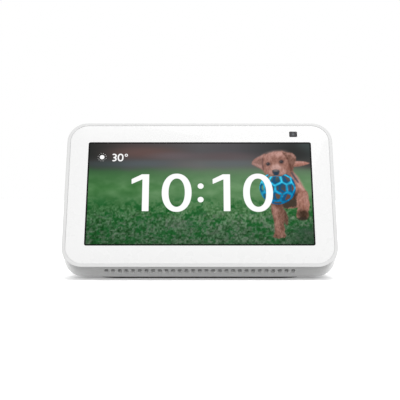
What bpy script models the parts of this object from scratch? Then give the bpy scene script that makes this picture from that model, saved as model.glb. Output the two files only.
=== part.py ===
"""A smart display with a 5.5-inch screen, built as separate pieces the way it comes apart on a bench.

A front casing holds the cover glass, screen, camera and buttons. It leans back on a wedge-shaped rear
shell in a knitted fabric cover, which holds the speaker, the ports and the base with its rubber foot.

Units are metres. The world's +X is the viewer's right, -Y is towards the viewer and +Z is up, and the
origin is under the middle of the object's box. The leaning half is modelled in the face frame: x to
the right, y up the glass, z out of the glass, with its origin in the middle of the screen window.
"""

import math

import bmesh
import bpy
from mathutils import Vector

MM = 0.001
CLEARANCE = 0.3 * MM  # gap between neighbouring pieces

# Driving dimensions of the whole object
BODY_WIDTH = 148 * MM
BODY_DEPTH = 73 * MM
FACE_HEIGHT = 86.4 * MM  # the front casing, measured up the glass
LEAN = math.radians(24.35)  # how far the glass leans back from upright
CASING_DEPTH = 15.5 * MM
CASING_CORNER = 11.4 * MM
CASING_WALL = 1.5 * MM
CASING_EDGE = 0.5 * MM
FOOT_STAND_OFF = 0.8 * MM  # how far the foot holds the casing's lowest edge up

# Cover glass and screen
GLASS_GAP = CLEARANCE
GLASS_WIDTH = 143.7 * MM
GLASS_HEIGHT = 82.2 * MM
GLASS_CORNER = 9.6 * MM
GLASS_THICKNESS = 1.1 * MM
WINDOW_WIDTH = 124 * MM
WINDOW_HEIGHT = 62 * MM
LEDGE_WIDTH = 4 * MM
LEDGE_THICKNESS = 1.2 * MM

# Camera and its shutter; depths are behind the glass's front face
CAMERA_X = 52.3 * MM
CAMERA_Y = 36 * MM
CAMERA_WINDOW = (4.4 * MM, 3.5 * MM)
CAMERA_MODULE_LOW = 33.6 * MM
CAMERA_MODULE_HIGH = 39.1 * MM
CAMERA_MODULE_FRONT = 2.4 * MM
CAMERA_MODULE_BACK = 6.4 * MM
LENS_RADIUS = 1.2 * MM
LENS_DEPTH = 3.8 * MM
SHUTTER_TRAVEL = 7 * MM
SHUTTER_SLOT_DEPTH = 5 * MM
SHUTTER_BLADE_HIGH = 40.4 * MM
SHUTTER_STEM_Y = 42.4 * MM

# Top controls: name and place across the object
BUTTONS = {"mic_camera_off": -24 * MM, "volume_down": -6 * MM, "volume_up": 12 * MM}
MICROPHONES = {"microphone_left": -15 * MM, "microphone_right": 21 * MM}
BUTTON_LENGTH = 10.4 * MM
BUTTON_WIDTH = 4.8 * MM
BUTTON_PROUD = 0.7 * MM
BUTTON_FLANGE_THICKNESS = 0.8 * MM
BUTTON_STEM_END = 39.8 * MM
SWITCH_TOP = 39 * MM
MICROPHONE_TOP = 38.9 * MM
BUTTON_BOARD_TOP = 37.6 * MM
BUTTON_BOARD_THICKNESS = 1 * MM
CONTROL_DEPTH = 7.75 * MM

# Sound slots in the casing's bottom wall
SLOT_COUNT = 29
SLOT_PITCH = 3.57 * MM
SLOT_WIDTH = 2.1 * MM
SLOT_LENGTH = 5.2 * MM
SLOT_CORNER = 0.5 * MM
SLOT_DEPTH = 6.2 * MM

# Rear body: its section shrinks from the casing's outline to a small flat back
REAR_START = CASING_DEPTH + 0.4 * MM
REAR_FRONT_HALF_WIDTH = 73.6 * MM
REAR_BACK_HALF_WIDTH = 48 * MM
REAR_FRONT_HEIGHT = 85.2 * MM
REAR_BACK_HEIGHT = 14 * MM
REAR_TOP_POWER = 1.25
REAR_SIDE_POWER = 2.0
REAR_LIFT = 5 * MM  # the underside curves up this far to the flat back
REAR_LIFT_POWER = 4
REAR_BULGE = 0.35 * MM  # how far the curved back passes the flat back's upper edge
REAR_CORNER = 10.6 * MM  # of the outline at the casing
REAR_LOW_CORNER_CHANGE = -6.4 * MM  # from there to the flat back
REAR_HIGH_CORNER_CHANGE = 18 * MM
REAR_CORNER_STEPS = 5
REAR_SECTIONS = 11
REAR_UNDERSIDE = 1.1 * MM
FABRIC_THICKNESS = 0.6 * MM
SHELL_INSET = 0.9 * MM
SHELL_WALL = 1.6 * MM

# Chassis and its screws
CHASSIS_FRONT = 12.5 * MM
CHASSIS_BACK = 14 * MM
CHASSIS_RIM_BACK = 17.5 * MM
CHASSIS_RIM_LOW = -36 * MM
CHASSIS_RIM_HIGH = 38.6 * MM
CHASSIS_RIM_WALL = 1.2 * MM
SCREW_X = 70.3 * MM
SCREW_Y = 20 * MM
SCREW_RADIUS = 0.9 * MM
BOSS_RADIUS = 2.6 * MM

# Speaker, on the rear face of the chassis
SPEAKER_Y = -3 * MM
SPEAKER_HOLE = 18 * MM

# Boards in the casing, as depths behind the glass
BOARD_FRONT = 8 * MM
BOARD_BACK = 9.2 * MM
CHIP_FRONT = BOARD_BACK + CLEARANCE
SINK_LOW = 22.5 * MM
SINK_HIGH = 35.5 * MM
FIN_COUNT = 11
FIN_PITCH = 5.6 * MM

# Base and ports, in world directions
FOOT_WIDTH = 110 * MM
FOOT_LENGTH = 38 * MM
FOOT_CENTRE_Y = -0.5 * MM
FOOT_CORNER = 13 * MM
FOOT_THICKNESS = 4.1 * MM
BASE_PLATE_THICKNESS = 1.5 * MM
PORT_RECESS_FLOOR = 28.7 * MM
PORT_WALL = 1.3 * MM
PORT_FLOOR_THICKNESS = 1.5 * MM
PORT_HALF_WIDTH = 18 * MM
PORT_LOW = 8 * MM
PORT_HIGH = 21 * MM
JACK_X = -7.5 * MM
JACK_Z = 14.5 * MM
SERVICE_X = 9 * MM
SERVICE_Z = 11.6 * MM
SERVICE_LENGTH = 6.5 * MM

HALF_FACE = FACE_HEIGHT / 2
SCREW_PLACES = [(x * SCREW_X, y * SCREW_Y) for x in (-1, 1) for y in (-1, 1)]
FACE_Y = -BODY_DEPTH / 2 + HALF_FACE * math.sin(LEAN)
FACE_Z = FOOT_STAND_OFF + HALF_FACE * math.cos(LEAN) + CASING_DEPTH * math.sin(LEAN)

bpy.context.scene.unit_settings.system = "METRIC"
for old in list(bpy.data.objects):
    bpy.data.objects.remove(old)

parts = bpy.data.collections.new("smart_display")
cutters = bpy.data.collections.new("cutters")
for collection in (parts, cutters):
    bpy.context.scene.collection.children.link(collection)

face = bpy.data.objects.new("face_axes", None)
face.location = (0, FACE_Y, FACE_Z)
face.rotation_euler = (math.pi / 2 - LEAN, 0, 0)
parts.objects.link(face)


# ---------------------------------------------------------------- materials


def plastic(name, colour, roughness, metallic=0.0):
    """A Principled material."""
    material = bpy.data.materials.new(name)
    material.use_nodes = True
    shader = material.node_tree.nodes["Principled BSDF"]
    shader.inputs["Base Color"].default_value = (*colour, 1)
    shader.inputs["Roughness"].default_value = roughness
    shader.inputs["Metallic"].default_value = metallic
    material.diffuse_color = (*colour, 1)
    return material


CASING_GREY = plastic("casing_plastic", (0.76, 0.76, 0.77), 0.45)
GLASS_WHITE = plastic("printed_glass", (0.9, 0.9, 0.9), 0.08)
DARK_GLASS = plastic("dark_glass", (0.03, 0.03, 0.035), 0.1)
SCREEN_DARK = plastic("screen", (0.02, 0.05, 0.02), 0.2)
BUTTON_GREY = plastic("button_plastic", (0.7, 0.7, 0.71), 0.4)
FABRIC = plastic("knit_fabric", (0.72, 0.72, 0.71), 0.95)
INNER_BLACK = plastic("inner_plastic", (0.05, 0.05, 0.05), 0.6)
RUBBER = plastic("rubber", (0.3, 0.3, 0.31), 0.8)
STEEL = plastic("steel", (0.6, 0.6, 0.6), 0.35, 1.0)
ALUMINIUM = plastic("aluminium", (0.75, 0.75, 0.76), 0.35, 1.0)
BOARD_GREEN = plastic("circuit_board", (0.03, 0.18, 0.07), 0.5)
FLEX_AMBER = plastic("flex_cable", (0.55, 0.25, 0.04), 0.4)
COPPER = plastic("copper", (0.8, 0.4, 0.2), 0.3, 1.0)
PAPER_CONE = plastic("cone_paper", (0.06, 0.06, 0.06), 0.9)
FOAM = plastic("foam", (0.1, 0.1, 0.1), 1.0)
WIRE_RED = plastic("red_wire", (0.6, 0.03, 0.02), 0.5)


# ---------------------------------------------------------------- shape helpers


def add_part(name, mesh, material, parent=None, location=(0, 0, 0), rotation=(0, 0, 0)):
    """Places a mesh as one named piece of the object."""
    mesh.materials.append(material)
    piece = bpy.data.objects.new(name, mesh)
    piece.parent = parent
    piece.location = location
    piece.rotation_euler = rotation
    parts.objects.link(piece)
    return piece


def add_cutter(name, mesh, parent=None, location=(0, 0, 0), rotation=(0, 0, 0)):
    """Places a mesh that only shapes other pieces."""
    piece = bpy.data.objects.new(name, mesh)
    piece.parent = parent
    piece.location = location
    piece.rotation_euler = rotation
    piece.hide_render = True
    piece.display_type = "WIRE"
    cutters.objects.link(piece)
    return piece


def combine(piece, other, operation="DIFFERENCE"):
    """Adds a Boolean of the other object to the piece."""
    boolean = piece.modifiers.new(other.name, "BOOLEAN")
    boolean.object = other
    boolean.operation = operation
    boolean.solver = "EXACT"


def repeat_across(piece, count, pitch):
    """Repeats the piece along its own x."""
    row = piece.modifiers.new("row", "ARRAY")
    row.count = count
    row.use_relative_offset = False
    row.use_constant_offset = True
    row.constant_offset_displace = (pitch, 0, 0)


def finished_mesh(bm, name, sharp_angle=math.radians(35)):
    """Turns a bmesh into a mesh that is shaded smooth between its sharp edges."""
    bmesh.ops.recalc_face_normals(bm, faces=bm.faces)
    mesh = bpy.data.meshes.new(name)
    bm.to_mesh(mesh)
    bm.free()
    mesh.shade_smooth()
    mesh.set_sharp_from_angle(angle=sharp_angle)
    return mesh


def block(name, size, corner=0.0, corner_steps=5, edge=0.0, edge_steps=2):
    """A box about the origin, with its four upright edges and then its end outlines rounded."""
    bm = bmesh.new()
    bmesh.ops.create_cube(bm, size=1)
    bmesh.ops.scale(bm, vec=Vector(size), verts=bm.verts)
    half = size[2] / 2
    if corner:
        upright = [e for e in bm.edges if abs(e.verts[0].co.z - e.verts[1].co.z) > half]
        bmesh.ops.bevel(
            bm, geom=upright, offset=corner, segments=corner_steps, profile=0.5, affect="EDGES"
        )
    if edge:
        ends = [e for e in bm.edges if all(abs(abs(v.co.z) - half) < 1e-7 for v in e.verts)]
        ends = [e for e in ends if e.verts[0].co.z * e.verts[1].co.z > 0]
        bmesh.ops.bevel(bm, geom=ends, offset=edge, segments=edge_steps, profile=0.5, affect="EDGES")
    return finished_mesh(bm, name)


def cylinder(name, radius, length, steps=24, edge=0.0):
    """A cylinder about the origin along z, with softened end edges."""
    bm = bmesh.new()
    bmesh.ops.create_cone(
        bm, cap_ends=True, segments=steps, radius1=radius, radius2=radius, depth=length
    )
    if edge:
        ends = [e for e in bm.edges if e.verts[0].co.z * e.verts[1].co.z > 0]
        bmesh.ops.bevel(bm, geom=ends, offset=edge, segments=2, profile=0.5, affect="EDGES")
    return finished_mesh(bm, name)


def turned(name, profile, material, location, steps=24):
    """A piece of revolution in the face frame: a closed profile of (radius, depth behind location).

    The profile runs down the outer side from the front, and back up the inner side.
    """
    bm = bmesh.new()
    corners = [bm.verts.new((radius, 0, -depth)) for radius, depth in profile]
    closed = profile[0][0] > 0 or profile[-1][0] > 0
    pairs = zip(corners, corners[1:] + corners[:1]) if closed else zip(corners, corners[1:])
    for a, b in pairs:
        bm.edges.new((a, b))
    mesh = bpy.data.meshes.new(name)
    bm.to_mesh(mesh)
    bm.free()
    piece = add_part(name, mesh, material, face, location)
    screw = piece.modifiers.new("turn", "SCREW")
    screw.steps = screw.render_steps = steps
    screw.use_merge_vertices = True
    screw.merge_threshold = 0.00001
    screw.use_smooth_shade = False
    return piece


def face_block(name, material, x, y, depth, corner=0.0, corner_steps=5, edge=0.0):
    """A block in the face frame between two x, two y and two depths behind the glass's front."""
    size = (x[1] - x[0], y[1] - y[0], depth[1] - depth[0])
    middle = ((x[0] + x[1]) / 2, (y[0] + y[1]) / 2, -(depth[0] + depth[1]) / 2)
    mesh = block(name, size, corner, corner_steps, edge)
    return add_part(name, mesh, material, face, middle)


def face_cutter(name, x, y, depth, corner=0.0, corner_steps=5):
    """A cutter in the face frame, given the same way as face_block."""
    size = (x[1] - x[0], y[1] - y[0], depth[1] - depth[0])
    middle = ((x[0] + x[1]) / 2, (y[0] + y[1]) / 2, -(depth[0] + depth[1]) / 2)
    return add_cutter(name, block(name, size, corner, corner_steps), face, middle)


def span(middle, length):
    """The two ends of a length about its middle."""
    return (middle - length / 2, middle + length / 2)


def ribbon(name, x, points, width, material, thickness=0.3 * MM):
    """A flat cable in the face frame, centred on x and running through (y, depth) points."""
    bm = bmesh.new()
    rows = []
    for y, depth in points:
        rows.append([bm.verts.new((x + side * width / 2, y, -depth)) for side in (-1, 1)])
    for near, far in zip(rows, rows[1:]):
        bm.faces.new((near[0], near[1], far[1], far[0]))
    mesh = finished_mesh(bm, name)
    piece = add_part(name, mesh, material, face)
    solidify = piece.modifiers.new("thickness", "SOLIDIFY")
    solidify.thickness = thickness
    solidify.offset = 0
    return piece


def wire(name, points, radius, material):
    """A round wire in the face frame through (x, y, depth) points."""
    curve = bpy.data.curves.new(name, "CURVE")
    curve.dimensions = "3D"
    curve.bevel_depth = radius
    curve.bevel_resolution = 1
    curve.use_fill_caps = True
    curve.resolution_u = 4
    spline = curve.splines.new("BEZIER")
    spline.bezier_points.add(len(points) - 1)
    for point, (x, y, depth) in zip(spline.bezier_points, points):
        point.co = (x, y, -depth)
        point.handle_left_type = point.handle_right_type = "AUTO"
    curve.materials.append(material)
    piece = bpy.data.objects.new(name, curve)
    piece.parent = face
    parts.objects.link(piece)
    return piece


# ---------------------------------------------------------------- rear form


def floor_y(depth, height):
    """The face-frame y, at a depth behind the glass, of a world height."""
    return (height - FACE_Z + depth * math.sin(LEAN)) / math.cos(LEAN)


def depth_on_floor(world_y, height):
    """The depth behind the glass of a world y at a world height."""
    return (world_y - FACE_Y) * math.cos(LEAN) - (height - FACE_Z) * math.sin(LEAN)


# The flat back is where the curved surface above it reaches the object's full depth.
REAR_END = depth_on_floor(
    BODY_DEPTH / 2 - REAR_BULGE, REAR_UNDERSIDE + REAR_BACK_HEIGHT * math.cos(LEAN)
)


def quarter(share, power):
    """A superellipse's quarter arc: 1 at share 0, falling to 0 at share 1."""
    return (1 - share**power) ** (1 / power)


def rear_section(share):
    """The rounded outline of the rear body at a share of its depth, as face-frame points."""
    depth = REAR_START + share * (REAR_END - REAR_START)
    half_width = REAR_BACK_HALF_WIDTH
    half_width += (REAR_FRONT_HALF_WIDTH - REAR_BACK_HALF_WIDTH) * quarter(share, REAR_SIDE_POWER)
    floor = floor_y(depth, REAR_UNDERSIDE)
    low = floor + REAR_LIFT * (1 - quarter(share, REAR_LIFT_POWER))
    high = floor + REAR_BACK_HEIGHT
    high += (REAR_FRONT_HEIGHT - REAR_BACK_HEIGHT) * quarter(share, REAR_TOP_POWER)
    low_corner = REAR_CORNER + REAR_LOW_CORNER_CHANGE * share
    high_corner = min(REAR_CORNER + REAR_HIGH_CORNER_CHANGE * share, high - low - low_corner)
    corners = (
        (half_width, high, high_corner, 0),
        (-half_width, high, high_corner, 90),
        (-half_width, low, low_corner, 180),
        (half_width, low, low_corner, 270),
    )
    points = []
    for x, y, radius, start in corners:
        centre_x = x - math.copysign(radius, x)
        centre_y = y - radius if y == high else y + radius
        for step in range(REAR_CORNER_STEPS + 1):
            angle = math.radians(start + 90 * step / REAR_CORNER_STEPS)
            across = centre_x + radius * math.cos(angle)
            points.append(Vector((across, centre_y + radius * math.sin(angle), -depth)))
    return points


def rear_surface(name, first_share=0.0, closed_front=False):
    """The rear body's outer surface as a loft of its sections, closed at the back."""
    bm = bmesh.new()
    rings = []
    first_angle = math.asin(first_share ** (REAR_TOP_POWER / 2))
    for step in range(REAR_SECTIONS):
        angle = first_angle + (math.pi / 2 - first_angle) * step / (REAR_SECTIONS - 1)
        share = min(1.0, math.sin(angle) ** (2 / REAR_TOP_POWER))
        rings.append([bm.verts.new(point) for point in rear_section(share)])
    for near, far in zip(rings, rings[1:]):
        for index, vertex in enumerate(near):
            following = (index + 1) % len(near)
            bm.faces.new((vertex, near[following], far[following], far[index]))
    bm.faces.new(rings[-1])
    if closed_front:
        bm.faces.new(rings[0][::-1])
    return finished_mesh(bm, name, math.radians(50))


def rear_skin(name, material, first_share, outer, thickness):
    """A shell of the rear form, its outer side the given distance inside the form's surface."""
    piece = add_part(name, rear_surface(name, first_share), material, face)
    solidify = piece.modifiers.new("wall", "SOLIDIFY")
    solidify.thickness = thickness
    solidify.offset = -1 - 2 * outer / thickness
    return piece


# ---------------------------------------------------------------- front casing


def front_frame():
    """The casing's walls and ledge, with its sound slots, control openings and screw bosses."""
    frame = face_block(
        "front_frame", CASING_GREY, span(0, BODY_WIDTH), span(0, FACE_HEIGHT),
        (0, CASING_DEPTH), CASING_CORNER, 10, CASING_EDGE,
    )
    pocket_floor = GLASS_THICKNESS + CLEARANCE
    ledge_back = pocket_floor + LEDGE_THICKNESS
    outside = 1 * MM
    pocket = face_cutter(
        "glass_pocket_cutter", span(0, GLASS_WIDTH + 2 * GLASS_GAP),
        span(0, GLASS_HEIGHT + 2 * GLASS_GAP), (-outside, pocket_floor), GLASS_CORNER + GLASS_GAP, 10,
    )
    opening = face_cutter(
        "ledge_opening_cutter", span(0, GLASS_WIDTH - 2 * LEDGE_WIDTH),
        span(0, GLASS_HEIGHT - 2 * LEDGE_WIDTH + 1 * MM), (0, ledge_back + outside), 5 * MM,
    )
    cavity = face_cutter(
        "casing_cavity_cutter", span(0, BODY_WIDTH - 2 * CASING_WALL),
        span(0, FACE_HEIGHT - 2 * CASING_WALL), (ledge_back, CASING_DEPTH + outside),
        CASING_CORNER - CASING_WALL, 10,
    )
    camera_room = face_cutter(
        "camera_room_cutter", (47.5 * MM, 64.5 * MM), (30 * MM, 41.1 * MM),
        (0.5 * MM, ledge_back + outside),
    )
    for cutter in (pocket, opening, cavity, camera_room):
        combine(frame, cutter)
    boss_front = pocket_floor + 0.4 * MM
    boss_back = CHASSIS_FRONT - CLEARANCE
    for x, y in SCREW_PLACES:
        boss = cylinder("screw_boss", BOSS_RADIUS, boss_back - boss_front)
        place = (x, y, -(boss_front + boss_back) / 2)
        combine(frame, add_cutter("screw_boss_shape", boss, face, place), "UNION")
        hole = cylinder("screw_pilot", SCREW_RADIUS + CLEARANCE, 9 * MM, 12)
        combine(frame, add_cutter("screw_pilot_cutter", hole, face, (x, y, -CHASSIS_FRONT)))
    cut_slots(frame)
    cut_top_openings(frame)


def cut_slots(frame):
    """The row of sound slots through the bottom wall."""
    mesh = block("sound_slot", (SLOT_WIDTH, SLOT_LENGTH, 6 * MM), SLOT_CORNER, 2)
    first = -SLOT_PITCH * (SLOT_COUNT - 1) / 2
    slots = add_cutter(
        "sound_slot_cutter", mesh, face, (first, -HALF_FACE, -SLOT_DEPTH), (math.pi / 2, 0, 0)
    )
    repeat_across(slots, SLOT_COUNT, SLOT_PITCH)
    combine(frame, slots)


def cut_top_openings(frame):
    """Openings in the top wall for the buttons, the microphones and the shutter's slider."""
    through = 6 * MM
    for button, x in BUTTONS.items():
        size = (BUTTON_LENGTH + 2 * CLEARANCE, BUTTON_WIDTH + 2 * CLEARANCE, through)
        mesh = block("button_opening", size, size[1] * 0.499, 6)
        place = (x, HALF_FACE, -CONTROL_DEPTH)
        combine(frame, add_cutter(button + "_opening_cutter", mesh, face, place, (math.pi / 2, 0, 0)))
    for microphone, x in MICROPHONES.items():
        mesh = cylinder("microphone_hole", 0.7 * MM, through, 12)
        place = (x, HALF_FACE, -CONTROL_DEPTH)
        combine(frame, add_cutter(microphone + "_hole_cutter", mesh, face, place, (math.pi / 2, 0, 0)))
    length = SHUTTER_TRAVEL + 3.2 * MM
    mesh = block("shutter_slot", (length, 2.4 * MM, through), 1.1 * MM, 4)
    place = (CAMERA_X + SHUTTER_TRAVEL / 2, HALF_FACE, -SHUTTER_SLOT_DEPTH)
    combine(frame, add_cutter("shutter_slot_cutter", mesh, face, place, (math.pi / 2, 0, 0)))


def glass_and_screen():
    """Cover glass, camera window, screen and the tray behind it."""
    glass = face_block(
        "front_panel", GLASS_WHITE, span(0, GLASS_WIDTH), span(0, GLASS_HEIGHT),
        (0, GLASS_THICKNESS), GLASS_CORNER, 10, 0.15 * MM,
    )
    window_x = span(CAMERA_X, CAMERA_WINDOW[0])
    window_y = span(CAMERA_Y, CAMERA_WINDOW[1])
    hole = face_cutter("camera_window_cutter", window_x, window_y, (-1 * MM, 3 * MM), 0.5 * MM)
    combine(glass, hole)
    face_block(
        "camera_window", DARK_GLASS, span(CAMERA_X, CAMERA_WINDOW[0] - 2 * CLEARANCE),
        span(CAMERA_Y, CAMERA_WINDOW[1] - 2 * CLEARANCE), (0.1 * MM, 0.9 * MM), 0.3 * MM, 3,
    )
    face_block(
        "display_panel", SCREEN_DARK, span(0, WINDOW_WIDTH + 2.4 * MM),
        span(0, WINDOW_HEIGHT + 1.4 * MM), (1.4 * MM, 2.9 * MM), 1 * MM, 3,
    )
    tray = face_block(
        "display_tray", STEEL, span(0, WINDOW_WIDTH + 6 * MM), span(0, WINDOW_HEIGHT + 4.4 * MM),
        (2.2 * MM, 5.6 * MM), 2 * MM, 3,
    )
    inside = face_cutter(
        "display_tray_cutter", span(0, WINDOW_WIDTH + 3.4 * MM), span(0, WINDOW_HEIGHT + 2.4 * MM),
        (1 * MM, 3.2 * MM), 1 * MM, 3,
    )
    combine(tray, inside)


def camera():
    """Camera module with its lens, and the sliding shutter: a blade behind the glass and its knob."""
    module = face_block(
        "camera_module", INNER_BLACK, span(CAMERA_X, 8 * MM), (CAMERA_MODULE_LOW, CAMERA_MODULE_HIGH),
        (CAMERA_MODULE_FRONT, CAMERA_MODULE_BACK), 0.4 * MM, 2,
    )
    bore = cylinder("lens_bore", LENS_RADIUS + CLEARANCE, 5.8 * MM)
    place = (CAMERA_X, CAMERA_Y, -CAMERA_MODULE_FRONT)
    combine(module, add_cutter("lens_bore_cutter", bore, face, place))
    lens = cylinder("camera_lens", LENS_RADIUS, 2.2 * MM, 24, 0.2 * MM)
    add_part("camera_lens", lens, DARK_GLASS, face, (CAMERA_X, CAMERA_Y, -LENS_DEPTH))

    shutter_x = CAMERA_X + SHUTTER_TRAVEL
    upright = (-math.pi / 2, 0, 0)
    blade = face_block(
        "shutter_blade", CASING_GREY, span(shutter_x, 6 * MM), (CAMERA_MODULE_LOW, SHUTTER_BLADE_HIGH),
        (1.5 * MM, 2 * MM),
    )
    arm = face_cutter(
        "shutter_arm_shape", span(shutter_x, 4 * MM), (SHUTTER_BLADE_HIGH - 0.6 * MM, 40.6 * MM),
        (1.6 * MM, 6.4 * MM),
    )
    combine(blade, arm, "UNION")
    mesh = block("shutter_knob", (7 * MM, 3.4 * MM, 1 * MM), 1.2 * MM, 4, 0.3 * MM)
    place = (shutter_x, HALF_FACE + 0.8 * MM, -SHUTTER_SLOT_DEPTH)
    knob = add_part("shutter_knob", mesh, BUTTON_GREY, face, place, upright)
    stem = block("shutter_stem", (2.4 * MM, 1.8 * MM, 2.9 * MM), 0.4 * MM, 2)
    place = (shutter_x, SHUTTER_STEM_Y, -SHUTTER_SLOT_DEPTH)
    combine(knob, add_cutter("shutter_stem_shape", stem, face, place, upright), "UNION")


def buttons():
    """Button caps in the top wall, each over its tact switch on a narrow board with the microphones."""
    upright = (-math.pi / 2, 0, 0)
    flange_top = HALF_FACE - CASING_WALL - CLEARANCE
    flange_middle = flange_top - BUTTON_FLANGE_THICKNESS / 2
    flange_size = (BUTTON_LENGTH + 2 * MM, BUTTON_WIDTH + 2 * MM, BUTTON_FLANGE_THICKNESS)
    top = HALF_FACE + BUTTON_PROUD
    bottom = flange_top - 0.5 * MM
    cap_size = (BUTTON_LENGTH, BUTTON_WIDTH, top - bottom)
    stem_length = flange_middle - BUTTON_STEM_END
    for button, x in BUTTONS.items():
        mesh = block(button, cap_size, BUTTON_WIDTH * 0.499, 6, 0.25 * MM)
        place = (x, (top + bottom) / 2, -CONTROL_DEPTH)
        cap = add_part(button + "_button", mesh, BUTTON_GREY, face, place, upright)
        flange = block("flange", flange_size, 3.2 * MM, 6)
        place = (x, flange_middle, -CONTROL_DEPTH)
        combine(cap, add_cutter(button + "_flange_shape", flange, face, place, upright), "UNION")
        stem = cylinder("stem", 1.4 * MM, stem_length, 16)
        place = (x, BUTTON_STEM_END + stem_length / 2, -CONTROL_DEPTH)
        combine(cap, add_cutter(button + "_stem_shape", stem, face, place, upright), "UNION")
        face_block(
            button + "_switch", STEEL, span(x, 4.5 * MM), (BUTTON_BOARD_TOP + CLEARANCE, SWITCH_TOP),
            span(CONTROL_DEPTH, 4.5 * MM),
        )
    for microphone, x in MICROPHONES.items():
        face_block(
            microphone, STEEL, span(x, 3.5 * MM), (BUTTON_BOARD_TOP + CLEARANCE, MICROPHONE_TOP),
            span(CONTROL_DEPTH, 2.6 * MM),
        )
    face_block(
        "button_board", BOARD_GREEN, (-32 * MM, 27 * MM),
        (BUTTON_BOARD_TOP - BUTTON_BOARD_THICKNESS, BUTTON_BOARD_TOP), span(CONTROL_DEPTH, 7.6 * MM),
    )


# ---------------------------------------------------------------- chassis and electronics


def chassis():
    """The plate that closes the casing, with a raised rim that the rear shell fits over."""
    plate = face_block(
        "mid_chassis", INNER_BLACK, span(0, 144 * MM), span(0, 82.4 * MM), (CHASSIS_FRONT, CHASSIS_BACK),
        9.4 * MM, 6,
    )
    rim_width = 140.2 * MM
    rim_corner = 8 * MM
    rim = face_cutter(
        "chassis_rim_shape", span(0, rim_width), (CHASSIS_RIM_LOW, CHASSIS_RIM_HIGH),
        (CHASSIS_BACK - 0.5 * MM, CHASSIS_RIM_BACK), rim_corner,
    )
    rim_inside = face_cutter(
        "chassis_rim_cutter", span(0, rim_width - 2 * CHASSIS_RIM_WALL),
        (CHASSIS_RIM_LOW + CHASSIS_RIM_WALL, CHASSIS_RIM_HIGH - CHASSIS_RIM_WALL),
        (CHASSIS_BACK, CHASSIS_RIM_BACK + 1.5 * MM), rim_corner - CHASSIS_RIM_WALL,
    )
    combine(plate, rim, "UNION")
    combine(plate, rim_inside)
    sound_hole = cylinder("speaker_hole", SPEAKER_HOLE, 6 * MM, 48)
    place = (0, SPEAKER_Y, -CHASSIS_FRONT)
    combine(plate, add_cutter("speaker_hole_cutter", sound_hole, face, place))
    cable_hole = face_cutter(
        "cable_hole_cutter", span(-48 * MM, 22 * MM), span(0, 9 * MM), (11 * MM, 16 * MM), 2 * MM
    )
    combine(plate, cable_hole)
    for number, (x, y) in enumerate(SCREW_PLACES, 1):
        hole = cylinder("screw_hole", SCREW_RADIUS + CLEARANCE, 5 * MM, 12)
        combine(plate, add_cutter("screw_hole_cutter", hole, face, (x, y, -CHASSIS_FRONT)))
        seat = cylinder("screw_seat", BOSS_RADIUS, 4 * MM, 16)
        combine(plate, add_cutter("screw_seat_cutter", seat, face, (x, y, -CHASSIS_BACK - 2 * MM)))
        screw(f"chassis_screw_{number}", x, y)


def screw(name, x, y):
    """A pan-head screw with a hexagonal socket, its head on the chassis's rear face."""
    head_front = CHASSIS_BACK + CLEARANCE
    profile = [
        (SCREW_RADIUS, -5 * MM), (SCREW_RADIUS, 0), (1.8 * MM, 0), (1.8 * MM, 0.9 * MM),
        (1.4 * MM, 1.2 * MM), (0, 1.2 * MM), (0, -5 * MM),
    ]
    piece = turned(name, profile, STEEL, (x, y, -head_front), 12)
    socket = cylinder("screw_socket", 0.7 * MM, 1.4 * MM, 6)
    combine(piece, add_cutter(name + "_socket_cutter", socket, face, (x, y, -head_front - 1.2 * MM)))


def electronics():
    """Main board with its shield and radio module, heat sink, antennas and flat cables."""
    face_block(
        "main_board", BOARD_GREEN, span(0, 116 * MM), (16.5 * MM, 35 * MM), (BOARD_FRONT, BOARD_BACK),
        2 * MM, 3,
    )
    for name, x, width, back in (
        ("processor_shield", 0, 26 * MM, 11.7 * MM), ("radio_module", -36 * MM, 15 * MM, 11.2 * MM)
    ):
        face_block(
            name, STEEL, span(x, width), span(26 * MM, 14 * MM), (CHIP_FRONT, back), 0.8 * MM, 2
        )
    sink = face_block(
        "heat_sink", ALUMINIUM, span(0, 60 * MM), (SINK_LOW, SINK_HIGH),
        (CHASSIS_BACK + CLEARANCE, 15.8 * MM),
    )
    fin = block("fin", (1.2 * MM, SINK_HIGH - SINK_LOW - 1 * MM, 4.5 * MM))
    first_fin = (-FIN_PITCH * (FIN_COUNT - 1) / 2, (SINK_LOW + SINK_HIGH) / 2, -17.6 * MM)
    fins = add_cutter("heat_sink_fins_shape", fin, face, first_fin)
    repeat_across(fins, FIN_COUNT, FIN_PITCH)
    combine(sink, fins, "UNION")
    for side, name in ((-1, "antenna_left"), (1, "antenna_right")):
        face_block(
            name, COPPER, span(side * 51 * MM, 26 * MM), span(29 * MM, 8 * MM),
            (CHASSIS_BACK + CLEARANCE, CHASSIS_BACK + 1 * MM),
        )
    flat_cables = (
        ("display_flex", 30, 18,
         [(20, 5.95), (14.5, 5.95), (13.6, 6.3), (13.4, 6.9), (13.9, 7.4), (20, 7.5)]),
        ("camera_flex", 52.3, 5, [(38, 6.85), (32, 6.85), (29, 7.4), (24, 7.5)]),
        ("button_flex", -20, 6, [(36.1, 8.5), (36.1, 10), (35.6, 10.3), (34, 9.8), (31, 9.75)]),
    )
    for name, x, width, route in flat_cables:
        points = [(y * MM, depth * MM) for y, depth in route]
        ribbon(name, x * MM, points, width * MM, FLEX_AMBER)


# ---------------------------------------------------------------- speaker


def half_turn(steps):
    """Cosine and sine at even steps from 0 to 180 degrees."""
    angles = [math.pi * step / steps for step in range(steps + 1)]
    return [(math.cos(angle), math.sin(angle)) for angle in angles]


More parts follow.
